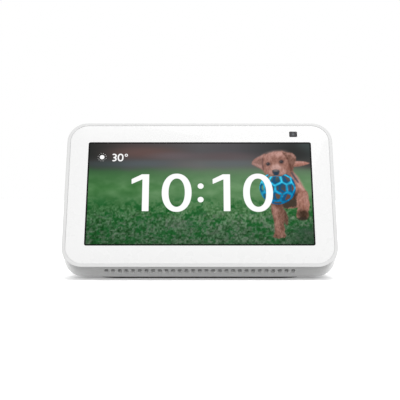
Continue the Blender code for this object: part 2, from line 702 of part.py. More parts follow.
def speaker():
    """A 41 mm driver on the chassis, in a cup that closes its air volume.

    Radii, and depths behind the chassis, are in millimetres here.
    """
    axis = (0, SPEAKER_Y, -CHASSIS_BACK)

    def shape(name, points, material, steps=24):
        turned(name, [(radius * MM, depth * MM) for radius, depth in points], material, axis, steps)

    def ring(name, outer, inner, front, back, material, steps=24):
        shape(name, [(outer, front), (outer, back), (inner, back), (inner, front)], material, steps)

    ring("speaker_gasket", 20.5, 18.2, 0.3, 1.1, FOAM)
    shape(
        "speaker_basket",
        [(20.5, 1.4), (20.5, 2.6), (19.8, 3.6), (15.4, 12.4), (7.6, 12.4), (7.6, 11.2), (14.6, 11.2),
         (19.0, 3.5), (19.0, 1.4)],
        STEEL,
    )
    roll = 17.6  # radius of the middle of the surround's half roll
    outline = [(18.7, 2.5), (18.7, 3.0)]
    outline += [(roll + 0.7 * cos, 3.0 - 0.9 * sin) for cos, sin in half_turn(4)]
    outline += [(16.5, 3.0), (16.5, 2.5)]
    outline += [(roll - 1.05 * cos, 2.5 - 1.2 * sin) for cos, sin in half_turn(4)]
    shape("speaker_surround", outline, RUBBER)
    shape("speaker_cone", [(16.2, 2.4), (16.2, 3.0), (6.6, 8.4), (6.1, 8.4), (6.1, 7.6)], PAPER_CONE)
    ring("voice_coil", 6.3, 5.7, 8.7, 15.6, COPPER, 16)
    quarter_turn = half_turn(8)[:4]
    dome = [(0, 5.4)] + [(5.7 * cos, 7.6 - 2.2 * sin) for cos, sin in reversed(quarter_turn)]
    dome += [(5.1 * cos, 7.6 - 1.7 * sin) for cos, sin in quarter_turn] + [(0, 5.9)]
    shape("dust_cap", dome, PAPER_CONE, 16)
    ring("speaker_magnet", 14, 7.2, 12.7, 18.7, STEEL)
    shape(
        "speaker_yoke",
        [(0, 12.6), (4.9, 12.6), (4.9, 19.0), (14, 19.0), (14, 21), (0, 21)],
        STEEL,
    )
    shape(
        "speaker_enclosure",
        [(23.2, 0.3), (23.2, 23.5), (22.2, 24.5), (0, 24.5), (0, 23.1), (21.8, 23.1), (21.8, 0.3)],
        INNER_BLACK, 28,
    )
    for name, x, material in (
        ("speaker_wire_positive", 25.2 * MM, WIRE_RED), ("speaker_wire_negative", 27.2 * MM, INNER_BLACK)
    ):
        points = [
            (x, 0, 16 * MM), (x, 6 * MM, 15.2 * MM), (x + 3 * MM, 12 * MM, 15 * MM),
            (x + 6 * MM, 19 * MM, 15.2 * MM),
        ]
        wire(name, points, 0.6 * MM, material)


# ---------------------------------------------------------------- rear body


def rear_body():
    """Rear shell, its fabric cover, and the base plate and foot in the opening below."""
    fabric = rear_skin("fabric_cover", FABRIC, 0.0, 0.0, FABRIC_THICKNESS)
    shell = rear_skin("rear_shell", CASING_GREY, 0.012, SHELL_INSET, SHELL_WALL)

    opening = (FOOT_WIDTH + 2 * CLEARANCE, FOOT_LENGTH + 2 * CLEARANCE, 12 * MM)
    mesh = block("foot_opening", opening, FOOT_CORNER + CLEARANCE, 7)
    foot_opening = add_cutter("foot_opening_cutter", mesh, None, (0, FOOT_CENTRE_Y, 0))
    size = (
        2 * (PORT_HALF_WIDTH + CLEARANCE), PORT_HIGH - PORT_LOW + 2 * CLEARANCE, 24 * MM,
    )
    mesh = block("port_opening", size, 3 * MM, 4)
    place = (0, PORT_RECESS_FLOOR + 8 * MM, (PORT_LOW + PORT_HIGH) / 2)
    port_opening = add_cutter("port_opening_cutter", mesh, None, place, (math.pi / 2, 0, 0))
    for piece in (fabric, shell):
        combine(piece, foot_opening)
        combine(piece, port_opening)

    foot = block("rubber_foot", (FOOT_WIDTH, FOOT_LENGTH, FOOT_THICKNESS), FOOT_CORNER, 7, 0.3 * MM)
    add_part("rubber_foot", foot, RUBBER, None, (0, FOOT_CENTRE_Y, FOOT_THICKNESS / 2))
    size = (FOOT_WIDTH + 4 * MM, FOOT_LENGTH + 2.4 * MM, BASE_PLATE_THICKNESS)
    height = FOOT_THICKNESS + CLEARANCE + BASE_PLATE_THICKNESS / 2
    plate = block("base_plate", size, FOOT_CORNER + 1 * MM, 6)
    add_part("base_plate", plate, INNER_BLACK, None, (0, FOOT_CENTRE_Y, height))


def ports():
    """The recessed bezel at the back with the power jack and the service port, on their own board."""
    form = add_cutter("rear_form_shape", rear_surface("rear_form", 0.0, True), face)
    width, height, depth = 2 * PORT_HALF_WIDTH, PORT_HIGH - PORT_LOW, 16 * MM
    upright = (math.pi / 2, 0, 0)
    middle_z = (PORT_LOW + PORT_HIGH) / 2
    floor_back = PORT_RECESS_FLOOR - PORT_FLOOR_THICKNESS
    mesh = block("port_bezel", (width, height, depth), 2.7 * MM, 4)
    place = (0, floor_back + depth / 2, middle_z)
    bezel = add_part("port_bezel", mesh, CASING_GREY, None, place, upright)
    pocket_size = (width - 2 * PORT_WALL, height - 2 * PORT_WALL, depth)
    pocket = block("port_pocket", pocket_size, 2.7 * MM - PORT_WALL, 4)
    place = (0, PORT_RECESS_FLOOR + depth / 2, middle_z)
    combine(bezel, form, "INTERSECT")
    combine(bezel, add_cutter("port_pocket_cutter", pocket, None, place, upright))
    hole = cylinder("jack_hole", 4.3 * MM, 6 * MM, 24)
    place = (JACK_X, PORT_RECESS_FLOOR, JACK_Z)
    combine(bezel, add_cutter("jack_hole_cutter", hole, None, place, upright))
    hole = block("service_hole", (8.6 * MM, 3.8 * MM, 6 * MM), 1.2 * MM, 4)
    place = (SERVICE_X, PORT_RECESS_FLOOR, SERVICE_Z)
    combine(bezel, add_cutter("service_hole_cutter", hole, None, place, upright))

    inner = floor_back - CLEARANCE
    jack_length = 9.4 * MM
    mesh = block("dc_jack", (10 * MM, 9 * MM, jack_length), 0.8 * MM, 2)
    place = (JACK_X, inner - jack_length / 2, JACK_Z)
    jack = add_part("dc_jack", mesh, INNER_BLACK, None, place, upright)
    nose = cylinder("jack_nose", 4 * MM, 3 * MM, 24)
    place = (JACK_X, floor_back, JACK_Z)
    combine(jack, add_cutter("jack_nose_shape", nose, None, place, upright), "UNION")
    bore_bottom = inner - 8 * MM
    bore_length = PORT_RECESS_FLOOR + 2 * MM - bore_bottom
    bore = cylinder("jack_bore", 2.8 * MM, bore_length, 24)
    place = (JACK_X, bore_bottom + bore_length / 2, JACK_Z)
    combine(jack, add_cutter("jack_bore_cutter", bore, None, place, upright))
    pin = cylinder("dc_jack_pin", 0.95 * MM, 8 * MM, 16, 0.25 * MM)
    place = (JACK_X, bore_bottom + CLEARANCE + 4 * MM, JACK_Z)
    add_part("dc_jack_pin", pin, STEEL, None, place, upright)

    service_port(upright)
    board_thickness = 1.2 * MM
    board = block("port_board", (34 * MM, 12.5 * MM, board_thickness), 1 * MM, 2)
    place = (0, 20.4 * MM, JACK_Z - 4.5 * MM - CLEARANCE - board_thickness / 2)
    add_part("port_board", board, BOARD_GREEN, None, place)


def service_port(upright):
    """The small flat socket beside the power jack, with its tongue."""
    back_wall = 0.6 * MM
    tongue_length = 4.5 * MM
    back = PORT_RECESS_FLOOR - CLEARANCE - SERVICE_LENGTH
    centre_y = back + SERVICE_LENGTH / 2
    mesh = block("service_port", (8 * MM, 3.2 * MM, SERVICE_LENGTH), 0.9 * MM, 3)
    socket = add_part("service_port", mesh, STEEL, None, (SERVICE_X, centre_y, SERVICE_Z), upright)
    hollow = block("service_hollow", (7.2 * MM, 2.4 * MM, SERVICE_LENGTH), 0.6 * MM, 3)
    place = (SERVICE_X, centre_y + back_wall, SERVICE_Z)
    combine(socket, add_cutter("service_hollow_cutter", hollow, None, place, upright))
    tongue = block("service_port_tongue", (5.4 * MM, 0.8 * MM, tongue_length))
    place = (SERVICE_X, back + back_wall + CLEARANCE + tongue_length / 2, SERVICE_Z)
    add_part("service_port_tongue", tongue, INNER_BLACK, None, place, upright)


front_frame()
glass_and_screen()
camera()
buttons()
chassis()
electronics()
speaker()
rear_body()
ports()
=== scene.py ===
import math

import bmesh
import bpy
import numpy as np
from mathutils import Matrix, Vector


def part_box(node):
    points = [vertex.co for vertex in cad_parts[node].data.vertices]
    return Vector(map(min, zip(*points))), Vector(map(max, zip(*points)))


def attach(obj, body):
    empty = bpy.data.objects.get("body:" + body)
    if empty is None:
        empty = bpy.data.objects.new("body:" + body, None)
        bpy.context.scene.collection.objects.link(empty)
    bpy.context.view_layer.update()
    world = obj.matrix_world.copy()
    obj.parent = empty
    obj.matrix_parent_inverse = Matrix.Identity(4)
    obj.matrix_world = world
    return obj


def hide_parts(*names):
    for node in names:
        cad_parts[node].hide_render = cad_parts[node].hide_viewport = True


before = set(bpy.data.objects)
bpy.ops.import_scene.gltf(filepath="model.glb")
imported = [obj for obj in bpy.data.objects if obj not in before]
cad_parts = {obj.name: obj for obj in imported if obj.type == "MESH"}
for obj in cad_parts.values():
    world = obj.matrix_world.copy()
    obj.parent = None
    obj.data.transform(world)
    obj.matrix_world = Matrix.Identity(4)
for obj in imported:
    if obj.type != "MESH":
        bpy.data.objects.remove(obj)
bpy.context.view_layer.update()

MM = 0.001

# The face frame: x to the right, y up the leaning face and z out of it, from the middle of the front.
LEAN = math.radians(24.35)
GLASS_THICKNESS = 1.1 * MM
up_axis = Vector((0, math.sin(LEAN), math.cos(LEAN)))
out_axis = Vector((0, -math.cos(LEAN), math.sin(LEAN)))
glass_low, glass_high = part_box("front_panel")
face_centre = (glass_low + glass_high) / 2 + out_axis * GLASS_THICKNESS / 2
face_matrix = Matrix.Translation(face_centre) @ Matrix.Rotation(math.pi / 2 - LEAN, 4, "X")

# The front, as the CAD model has it.
FACE_HEIGHT = 86.4 * MM
GLASS_WIDTH = 143.7 * MM
GLASS_HEIGHT = 82.2 * MM
GLASS_CORNER = 9.6 * MM
GLASS_EDGE = 0.2 * MM
PANEL_GROWTH = 0.24 * MM  # how far the glass fills its gap to the casing
WINDOW_WIDTH = 124 * MM
WINDOW_HEIGHT = 62 * MM
WINDOW_CORNER = 1.1 * MM
CAMERA_X = 52.3 * MM
CAMERA_Y = 36 * MM
CAMERA_HOLE = (4.4 * MM, 3.5 * MM)
CAMERA_CORNER = 0.5 * MM
BUTTON_TOP = FACE_HEIGHT / 2 + 0.7 * MM
BUTTON_DEPTH = 7.75 * MM


# ---------------------------------------------------------------- materials

# Where the Mix node keeps its two colours and its mixed colour among its sockets.
MIX_FIRST_COLOUR = 6
MIX_SECOND_COLOUR = 7
MIX_COLOUR = 2


class Finish:
    """A Principled material whose node graph grows by short calls."""

    def __init__(self, name, **values):
        self.name = name
        self.material = bpy.data.materials.new(name)
        self.material.use_nodes = True
        self.nodes = self.material.node_tree.nodes
        self.links = self.material.node_tree.links
        self.shader = self.nodes["Principled BSDF"]
        for key, value in values.items():
            self.set(self.shader, key, value)
        self.place = self.add("ShaderNodeTexCoord").outputs["Object"]

    def set(self, node, key, value):
        """Links a socket or sets a value; a key such as Base_Color names the input Base Color."""
        socket = node.inputs[key if isinstance(key, int) else key.replace("_", " ")]
        if isinstance(value, bpy.types.NodeSocket):
            self.links.new(value, socket)
        elif socket.type == "RGBA":
            socket.default_value = (*value, 1)
        else:
            socket.default_value = value

    def add(self, kind, settings=(), inputs=(), **named):
        """A new node, with its settings, its inputs in order and its inputs by name."""
        node = self.nodes.new(kind)
        for key, value in dict(settings).items():
            setattr(node, key, value)
        for index, value in enumerate(inputs):
            if value is not None:
                self.set(node, index, value)
        for key, value in named.items():
            self.set(node, key, value)
        return node

    def math(self, operation, *inputs):
        """The result of a sum."""
        return self.add("ShaderNodeMath", {"operation": operation}, inputs).outputs[0]

    def weigh(self, first, share, second):
        """A share of the first value and the rest of the second."""
        return self.math("MULTIPLY_ADD", first, share, self.math("MULTIPLY", second, 1 - share))

    def scale(self, vector, factor):
        """A vector or a colour times a value."""
        node = self.add("ShaderNodeVectorMath", {"operation": "SCALE"}, Vector=vector, Scale=factor)
        return node.outputs[0]

    def attribute(self, name, output="Fac"):
        """A value that the mesh carries for each point."""
        return self.add("ShaderNodeAttribute", {"attribute_name": name}).outputs[output]

    def noise(self, size, detail=2.0, roughness=0.5, vector=None, stretch=(1, 1, 1)):
        """Fractal noise about 0.5 with features of the given size, longer along a stretched axis."""
        scale = tuple(1 / (size * s) for s in stretch)
        mapped = self.add("ShaderNodeMapping", Vector=vector or self.place, Scale=scale).outputs[0]
        noise = self.add("ShaderNodeTexNoise", Vector=mapped, Scale=1.0, Detail=detail)
        self.set(noise, "Roughness", roughness)
        return noise.outputs[0]

    def cells(self, size, feature="F1", randomness=1.0, seed=0):
        """A Voronoi pattern with cells of the given size."""
        scale, shift = (1 / size,) * 3, (seed,) * 3
        mapped = self.add("ShaderNodeMapping", Vector=self.place, Scale=scale, Location=shift)
        cells = self.add("ShaderNodeTexVoronoi", {"feature": feature}, Scale=1.0, Randomness=randomness)
        self.set(cells, "Vector", mapped.outputs[0])
        return cells.outputs["Distance"]

    def ramp(self, value, low, high, out_low=0.0, out_high=1.0, smooth=True):
        """Carries a value from one range to another, held at both ends."""
        kind = {"interpolation_type": "SMOOTHSTEP" if smooth else "LINEAR"}
        return self.add("ShaderNodeMapRange", kind, (value, low, high, out_low, out_high)).outputs[0]

    def mix(self, share, first, second):
        """Mixes two colours."""
        node = self.add("ShaderNodeMix", {"data_type": "RGBA"}, (share,))
        self.set(node, MIX_FIRST_COLOUR, first)
        self.set(node, MIX_SECOND_COLOUR, second)
        return node.outputs[MIX_COLOUR]

    def tint(self, colour):
        """Gives the surface its colour."""
        self.set(self.shader, "Base Color", colour)

    def speckle(self, colour, amount, share):
        """The colour made up to amount lighter or darker by a value about 0.5."""
        darker = tuple(c * (1 - amount) for c in colour)
        lighter = tuple(min(1, c * (1 + amount)) for c in colour)
        return self.mix(share, darker, lighter)

    def roughness(self, value, low, high):
        """Varies the gloss between two roughnesses by a value about 0.5."""
        self.set(self.shader, "Roughness", self.ramp(value, 0.3, 0.7, low, high, smooth=False))

    def bump(self, height, depth):
        """Raises the surface by a height from 0 to 1, up to a depth in metres."""
        node = self.add("ShaderNodeBump", Strength=1.0, Distance=depth, Height=height)
        self.set(self.shader, "Normal", node.outputs[0])

    def split(self, vector):
        """A vector's x, y and z."""
        return self.add("ShaderNodeSeparateXYZ", inputs=(vector,)).outputs

    def face_place(self):
        """The point in the face frame, in metres."""
        turned = self.add(
            "ShaderNodeMapping", {"vector_type": "TEXTURE"}, Vector=self.place,
            Location=tuple(face_centre), Rotation=(math.pi / 2 - LEAN, 0, 0),
        )
        return turned.outputs[0]

    def stripes(self, value, pitch):
        """A wave from 0 to 1 along a length."""
        wave = self.math("SINE", self.math("MULTIPLY", value, 2 * math.pi / pitch))
        return self.math("MULTIPLY_ADD", wave, 0.5, 0.5)


def moulded(name, colour, roughness, grain, depth, shade=0.03, specular=0.5):
    """Moulded plastic: a fine spark-eroded grain, a little flow colour and uneven gloss."""
    f = Finish(name, Specular_IOR_Level=specular)
    fine = f.noise(grain, 3.0, 0.6)
    broad = f.noise(grain * 90, 2.0)
    f.tint(f.speckle(colour, shade, f.weigh(fine, 0.6, broad)))
    f.roughness(f.noise(grain * 25, 4.0), roughness * 0.88, roughness * 1.12)
    f.bump(fine, depth)
    return f


CASING_GREY = (0.55, 0.551, 0.55)
# Painted shade on the casing's underside: how squarely a wall faces down, the depth it spans, and the
# colour's factor from the front edge to the back.
UNDERSIDE_FACING = (0.55, 0.97)
UNDERSIDE_SPAN = (0.3 * MM, 15 * MM)
UNDERSIDE_PAINTED_SHADE = (0.39, 1.13)


def casing_plastic():
    """The casing's satin plastic, with painted shade on its underside: dark at the front edge and paler
    towards the back.
    """
    f = moulded("casing_plastic", CASING_GREY, 0.42, 0.16 * MM, 0.006 * MM, 0.02)
    base = f.shader.inputs["Base Color"].links[0].from_socket
    facing = f.add("ShaderNodeVectorMath", {"operation": "DOT_PRODUCT"})
    f.set(facing, 0, f.add("ShaderNodeTexCoord").outputs["Normal"])
    f.set(facing, 1, tuple(-up_axis))
    # Painted shade: walls that face down get their grey scaled from 0.39 at the front edge up to 1.13
    # towards the back.
    under = f.ramp(facing.outputs["Value"], *UNDERSIDE_FACING)
    depth = f.math("MULTIPLY", f.split(f.face_place())[2], -1.0)
    painted_shade = f.ramp(depth, *UNDERSIDE_SPAN, *UNDERSIDE_PAINTED_SHADE, smooth=False)
    shade = f.math("ADD", 1.0, f.math("MULTIPLY", under, f.math("SUBTRACT", painted_shade, 1.0)))
    f.tint(f.scale(base, shade))
    return f


PANEL_WHITE = (0.655, 0.655, 0.654)


def printed_glass():
    """White ink behind glass: even, with the faint cloud of its coats under a hard gloss."""
    f = Finish("printed_glass", Coat_Weight=0.6, Coat_Roughness=0.04, Specular_IOR_Level=0.4)
    ink = f.weigh(f.noise(14 * MM), 0.7, f.noise(0.3 * MM, 3.0))
    f.tint(f.speckle(PANEL_WHITE, 0.008, ink))
    f.roughness(f.noise(9 * MM, 4.0), 0.24, 0.32)
    f.bump(f.noise(25 * MM), 0.01 * MM)
    return f


GRASS_CONTRAST = 1.4
GRAIN_CONTRAST = 0.25
SHARP_BELOW = 18 * MM
FIGURE_INSETS = {"clock": 0.1 * MM, "weather": 0}
FIGURE_BLUR = 0.06 * MM
MASK_BLUR = 0.1 * MM
MASK_BLACK = (0.006, 0.006, 0.006)


def screen_glass():
    """A lit screen: the painted picture, with crisp clock figures, behind weak reflections."""
    f = Finish("screen_glass", Specular_IOR_Level=0.06, Base_Color=(0, 0, 0), Emission_Strength=1.0)
    at = f.face_place()
    grain = f.math("SUBTRACT", f.noise(0.33 * MM, 2.0, 0.6, at), 0.5)
    blades = f.math("SUBTRACT", f.noise(0.5 * MM, 3.0, 0.6, at, (1, 2.6, 1)), 0.5)
    near = f.math("MULTIPLY", f.ramp(f.split(at)[1], 0, -SHARP_BELOW), GRASS_CONTRAST)
    relief = f.math("ADD", f.math("MULTIPLY", blades, near), f.math("MULTIPLY", grain, GRAIN_CONTRAST))
    lit = f.scale(f.attribute("picture", "Color"), f.math("ADD", 1.0, relief))
    for figures, inset in FIGURE_INSETS.items():
        share = f.ramp(f.attribute(figures), inset - FIGURE_BLUR, inset + FIGURE_BLUR)
        lit = f.mix(share, lit, (1, 1, 1))
    border = f.ramp(f.attribute("mask"), -MASK_BLUR, MASK_BLUR)
    f.set(f.shader, "Emission Color", f.mix(border, lit, MASK_BLACK))
    f.roughness(f.noise(12 * MM, 4.0), 0.10, 0.16)
    return f


PUPIL_GREY = (0.085, 0.095, 0.10)
LENS_BLACK = (0.022, 0.022, 0.024)
RING_GREY = (0.07, 0.07, 0.075)
DUST_GREY = (0.12, 0.12, 0.12)
PUPIL_EDGE = (0.35 * MM, 0.95 * MM)
RING_INNER_EDGE = (1.0 * MM, 1.1 * MM)
RING_OUTER_EDGE = (1.3 * MM, 1.2 * MM)


def dark_glass():
    """Black glass over the lens: a faint ring round a paler pupil, in the face frame."""
    f = Finish("dark_glass", Specular_IOR_Level=0.25)
    x, y, _ = f.split(f.face_place())
    dx, dy = f.math("SUBTRACT", x, CAMERA_X), f.math("SUBTRACT", y, CAMERA_Y)
    radius = f.math("SQRT", f.math("ADD", f.math("POWER", dx, 2.0), f.math("POWER", dy, 2.0)))
    colour = f.mix(f.ramp(radius, *PUPIL_EDGE), PUPIL_GREY, LENS_BLACK)
    ring = f.math("MULTIPLY", f.ramp(radius, *RING_INNER_EDGE), f.ramp(radius, *RING_OUTER_EDGE))
    colour = f.mix(f.math("MULTIPLY", ring, 0.5), colour, RING_GREY)
    dust = f.noise(0.2 * MM, 2.0)
    f.tint(f.mix(f.ramp(dust, 0.62, 0.8, 0, 0.25), colour, DUST_GREY))
    f.roughness(dust, 0.06, 0.12)
    return f


KNIT_COLUMN = 1.25 * MM
KNIT_ROW = 1.1 * MM
KNIT_SWAY = 0.22 * MM
KNIT_RELIEF = 0.16 * MM
KNIT_LIGHT = (0.47, 0.475, 0.48)
KNIT_SHADE = (0.30, 0.305, 0.31)
KNIT_FLECK = (0.34, 0.345, 0.355)


def knit_fabric():
    """A fine warp knit: columns of stitches in two close greys, the darker one painted shade in the
    stitches' hollows, with a soft sheen.
    """
    f = Finish("knit_fabric", Sheen_Weight=0.35, Sheen_Roughness=0.5, Specular_IOR_Level=0.2)
    weave = f.add("ShaderNodeUVMap", {"uv_map": "weave"}).outputs[0]
    drift = f.add("ShaderNodeTexNoise", Vector=f.place, Scale=240.0, Detail=2.0).outputs["Color"]
    sway = f.scale(drift, KNIT_SWAY)
    at = f.add("ShaderNodeVectorMath", {"operation": "ADD"}, (weave, sway)).outputs[0]
    x, y, _ = f.split(at)
    columns = f.stripes(x, KNIT_COLUMN)
    # Each stitch is a V: its row runs up on one half of the column and down on the other.
    fold = f.math("PINGPONG", x, KNIT_COLUMN / 2)
    rows = f.stripes(f.math("ADD", y, f.math("MULTIPLY", fold, 1.1)), KNIT_ROW)
    stitch = f.math("MULTIPLY", f.math("POWER", rows, 0.7), f.math("MULTIPLY_ADD", columns, 0.75, 0.25))
    fibre = f.noise(0.09 * MM, 3.0, 0.6, at, (1, 3, 1))
    yarn = f.noise(1.6 * MM, 2.0, 0.6, at, (0.5, 5, 1))
    broad = f.noise(26 * MM, 2.0)
    # Painted shade: the colour follows the stitch relief, darker where the bump is low, in the hollows
    # between stitches.
    colour = f.mix(f.ramp(stitch, 0.05, 0.55), KNIT_SHADE, KNIT_LIGHT)
    heather = f.weigh(yarn, 0.6, fibre)
    colour = f.mix(f.ramp(heather, 0.5, 0.66, 0, 0.55), colour, KNIT_FLECK)
    colour = f.mix(f.ramp(broad, 0.3, 0.7, 0, 0.12), colour, KNIT_SHADE)
    f.tint(colour)
    f.roughness(fibre, 0.78, 0.95)
    f.bump(f.math("MULTIPLY_ADD", fibre, 0.25, stitch), KNIT_RELIEF)
    return f


def brushed(name, colour, roughness, along):
    """Metal with fine lines along one axis, a few deeper scratches and uneven gloss."""
    f = Finish(name, Metallic=1.0)
    lines = f.noise(0.12 * MM, 4.0, 0.7, stretch=along)
    f.tint(f.speckle(colour, 0.08, lines))
    f.roughness(lines, roughness * 0.75, roughness * 1.3)
    marks = f.ramp(f.noise(0.5 * MM, 2.0, stretch=along), 0.62, 0.7)
    f.bump(f.math("MULTIPLY_ADD", marks, -0.25, lines), 0.012 * MM)
    return f


def circuit_board():
    """Green solder mask over broad and fine copper tracks, with tinned pads."""
    f = Finish("circuit_board", Coat_Weight=0.4, Coat_Roughness=0.2)
    tracks = f.cells(2.4 * MM, "DISTANCE_TO_EDGE", randomness=0.55)
    track = f.ramp(tracks, 0.05, 0.08, 1, 0)
    fine = f.ramp(f.cells(0.9 * MM, "DISTANCE_TO_EDGE", randomness=0.2, seed=3), 0.06, 0.09, 1, 0)
    pads = f.ramp(f.cells(1.7 * MM, randomness=0.35, seed=7), 0.16, 0.2, 1, 0)
    colour = f.mix(f.math("MULTIPLY", fine, 0.35), (0.012, 0.085, 0.035), (0.02, 0.14, 0.055))
    colour = f.mix(track, colour, (0.035, 0.2, 0.08))
    f.tint(f.mix(pads, colour, (0.62, 0.6, 0.52)))
    f.roughness(f.noise(0.4 * MM), 0.32, 0.48)
    f.bump(f.math("ADD", track, pads), 0.03 * MM)
    return f


def flex_cable():
    """Amber polyimide film over fine copper tracks."""
    f = Finish("flex_cable", Coat_Weight=0.5, Coat_Roughness=0.12)
    x, _, _ = f.split(f.place)
    lines = f.ramp(f.stripes(x, 0.8 * MM), 0.45, 0.6)
    colour = f.mix(lines, (0.42, 0.16, 0.025), (0.62, 0.3, 0.07))
    f.tint(f.mix(f.ramp(f.noise(3 * MM), 0.4, 0.7, 0, 0.2), colour, (0.3, 0.11, 0.02)))
    f.roughness(f.noise(1 * MM), 0.28, 0.4)
    f.bump(lines, 0.02 * MM)
    return f


def rubber():
    """Dark rubber with a fine pebble, paler dust in its hollows and a dull surface."""
    f = Finish("rubber", Specular_IOR_Level=0.3)
    pebble = f.cells(0.55 * MM)
    dust = f.noise(6 * MM, 4.0, 0.6)
    colour = f.mix(f.ramp(pebble, 0.1, 0.6), (0.05, 0.05, 0.052), (0.03, 0.03, 0.031))
    f.tint(f.mix(f.ramp(dust, 0.5, 0.75, 0, 0.3), colour, (0.09, 0.09, 0.088)))
    f.roughness(dust, 0.62, 0.85)
    f.bump(pebble, 0.05 * MM)
    return f


def fibrous(name, colour, size, depth, roughness=0.9):
    """Pressed paper or foam: fibres or pores with deep shade between them."""
    f = Finish(name, Specular_IOR_Level=0.2)
    pores = f.cells(size)
    fibres = f.noise(size * 2, 4.0, 0.7, stretch=(1, 4, 1))
    f.tint(f.speckle(colour, 0.35, f.math("MULTIPLY_ADD", pores, -0.5, fibres)))
    f.roughness(fibres, roughness * 0.9, min(1, roughness * 1.08))
    f.bump(f.math("MULTIPLY_ADD", pores, -0.6, fibres), depth)
    return f


finishes = {f.name: f.material for f in (
    casing_plastic(), printed_glass(), screen_glass(), dark_glass(), knit_fabric(),
    rubber(), circuit_board(), flex_cable(),
    moulded("button_plastic", (0.52, 0.52, 0.52), 0.5, 0.2 * MM, 0.008 * MM, 0.025),
    moulded("inner_plastic", (0.032, 0.033, 0.036), 0.55, 0.22 * MM, 0.012 * MM, 0.2, 0.4),
    moulded("red_wire", (0.45, 0.02, 0.015), 0.38, 0.3 * MM, 0.01 * MM, 0.1),
    brushed("steel", (0.62, 0.62, 0.61), 0.34, (12, 1, 1)),
    brushed("aluminium", (0.78, 0.79, 0.8), 0.3, (1, 14, 14)),
    brushed("copper", (0.83, 0.45, 0.28), 0.28, (8, 1, 1)),
    fibrous("cone_paper", (0.04, 0.04, 0.042), 0.35 * MM, 0.05 * MM),
    fibrous("foam", (0.06, 0.06, 0.062), 0.5 * MM, 0.15 * MM, 0.95),
)}

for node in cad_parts.values():
    for material_slot in node.material_slots:
        material_slot.material = finishes[material_slot.material.name.split(".")[0]]


# ---------------------------------------------------------------- mesh helpers


def place_object(name, data):
    """A new object in the scene."""
    thing = bpy.data.objects.new(name, data)
    bpy.context.scene.collection.objects.link(thing)
    return thing


def new_piece(name, mesh, slot, body="root", angle=35):
    """A piece from a mesh in the row frame, in its slot's finish, riding on a body."""
    mesh.materials.clear()
    mesh.materials.append(finishes[slot])
    mesh.shade_smooth()
    mesh.set_sharp_from_angle(angle=math.radians(angle))
    piece = place_object(name, mesh)
    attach(piece, body)
    return piece


def mesh_from(bm, name, matrix=None):
    """A finished mesh from a bmesh, its faces turned outward, moved into the row frame."""
    bmesh.ops.recalc_face_normals(bm, faces=bm.faces)
    if matrix is not None:
        bm.transform(matrix)
    mesh = bpy.data.meshes.new(name)
    bm.to_mesh(mesh)
    bm.free()
    return mesh


def rounded_loop(width, height, corner, centre=(0, 0), steps=8):
    """The points of a rounded rectangle, counter-clockwise."""
    points = []
    for quarter_turn, (sx, sy) in enumerate(((1, 1), (-1, 1), (-1, -1), (1, -1))):
        for step in range(steps + 1):
            angle = math.pi / 2 * (quarter_turn + step / steps)
            x = centre[0] + sx * (width / 2 - corner) + corner * math.cos(angle)
            points.append((x, centre[1] + sy * (height / 2 - corner) + corner * math.sin(angle)))
    return points


def add_ring(bm, points, z):
    """A ring of vertices at one height."""
    return [bm.verts.new((x, y, z)) for x, y in points]


def bridge(bm, first, second):
    """Quads between two rings with the same number of points."""
    for index in range(len(first)):
        following = (index + 1) % len(first)
        bm.faces.new((first[index], first[following], second[following], second[index]))


def cap(bm, rings):
    """A flat face between an outer ring and the rings of its holes."""
    edges = []
    for ring in rings:
        for index, vertex in enumerate(ring):
            pair = (vertex, ring[(index + 1) % len(ring)])
            edges.append(bm.edges.get(pair) or bm.edges.new(pair))
    bmesh.ops.triangle_fill(bm, use_beauty=True, use_dissolve=False, edges=edges)


def slab(bm, loop, top, bottom):
    """A closed flat solid between two heights."""
    upper, lower = add_ring(bm, loop, top), add_ring(bm, loop, bottom)
    bridge(bm, upper, lower)
    cap(bm, [upper])
    cap(bm, [lower])


def plate(bm, outer, holes, front, back, edge):
    """A flat plate with holes; outer makes the outline for an inset, and edge rounds its front rim."""
    steps = 4
    rings = []
    for step in range(steps + 1):
        angle = math.pi / 2 * step / steps
        inset = edge * (1 - math.sin(angle))
        rings.append(add_ring(bm, outer(inset), front - edge * (1 - math.cos(angle))))
    rings.append(add_ring(bm, outer(0), back))
    for one, two in zip(rings, rings[1:]):
        bridge(bm, one, two)
    front_holes = [add_ring(bm, hole, front) for hole in holes]
    back_holes = [add_ring(bm, hole, back) for hole in holes]
    for one, two in zip(front_holes, back_holes):
        bridge(bm, one, two)
    cap(bm, [rings[0], *front_holes])
    cap(bm, [rings[-1], *back_holes])


# ---------------------------------------------------------------- painting the screen

# Places and sizes are in millimetres from the screen's middle, and colours are display values to 255.


def ease(low, high, x):
    """0 below low, 1 above high, and a smooth step between."""
    t = np.clip((x - low) / (high - low), 0, 1)
    return t * t * (3 - 2 * t)


def lattice_value(ix, iy, seed):
    """A repeatable random value from 0 to 1 for each lattice point."""
    mixed = np.sin(ix * 127.1 + iy * 311.7 + seed * 74.7) * 43758.5453
    return mixed - np.floor(mixed)


def value_noise(x, y, seed):
    """Smooth noise from 0 to 1 with features one unit wide."""
    ix, iy = np.floor(x), np.floor(y)
    fx, fy = ease(0, 1, x - ix), ease(0, 1, y - iy)
    bottom = lattice_value(ix, iy, seed) * (1 - fx) + lattice_value(ix + 1, iy, seed) * fx
    top = lattice_value(ix, iy + 1, seed) * (1 - fx) + lattice_value(ix + 1, iy + 1, seed) * fx
    return bottom * (1 - fy) + top * fy


def cloud(x, y, octaves, seed):
    """Fractal noise about 0.5."""
    total, weight = 0, 0
    for octave in range(octaves):
        share = 0.5**octave
        total = total + share * value_noise(x * 2**octave, y * 2**octave, seed + octave)
        weight += share
    return total / weight


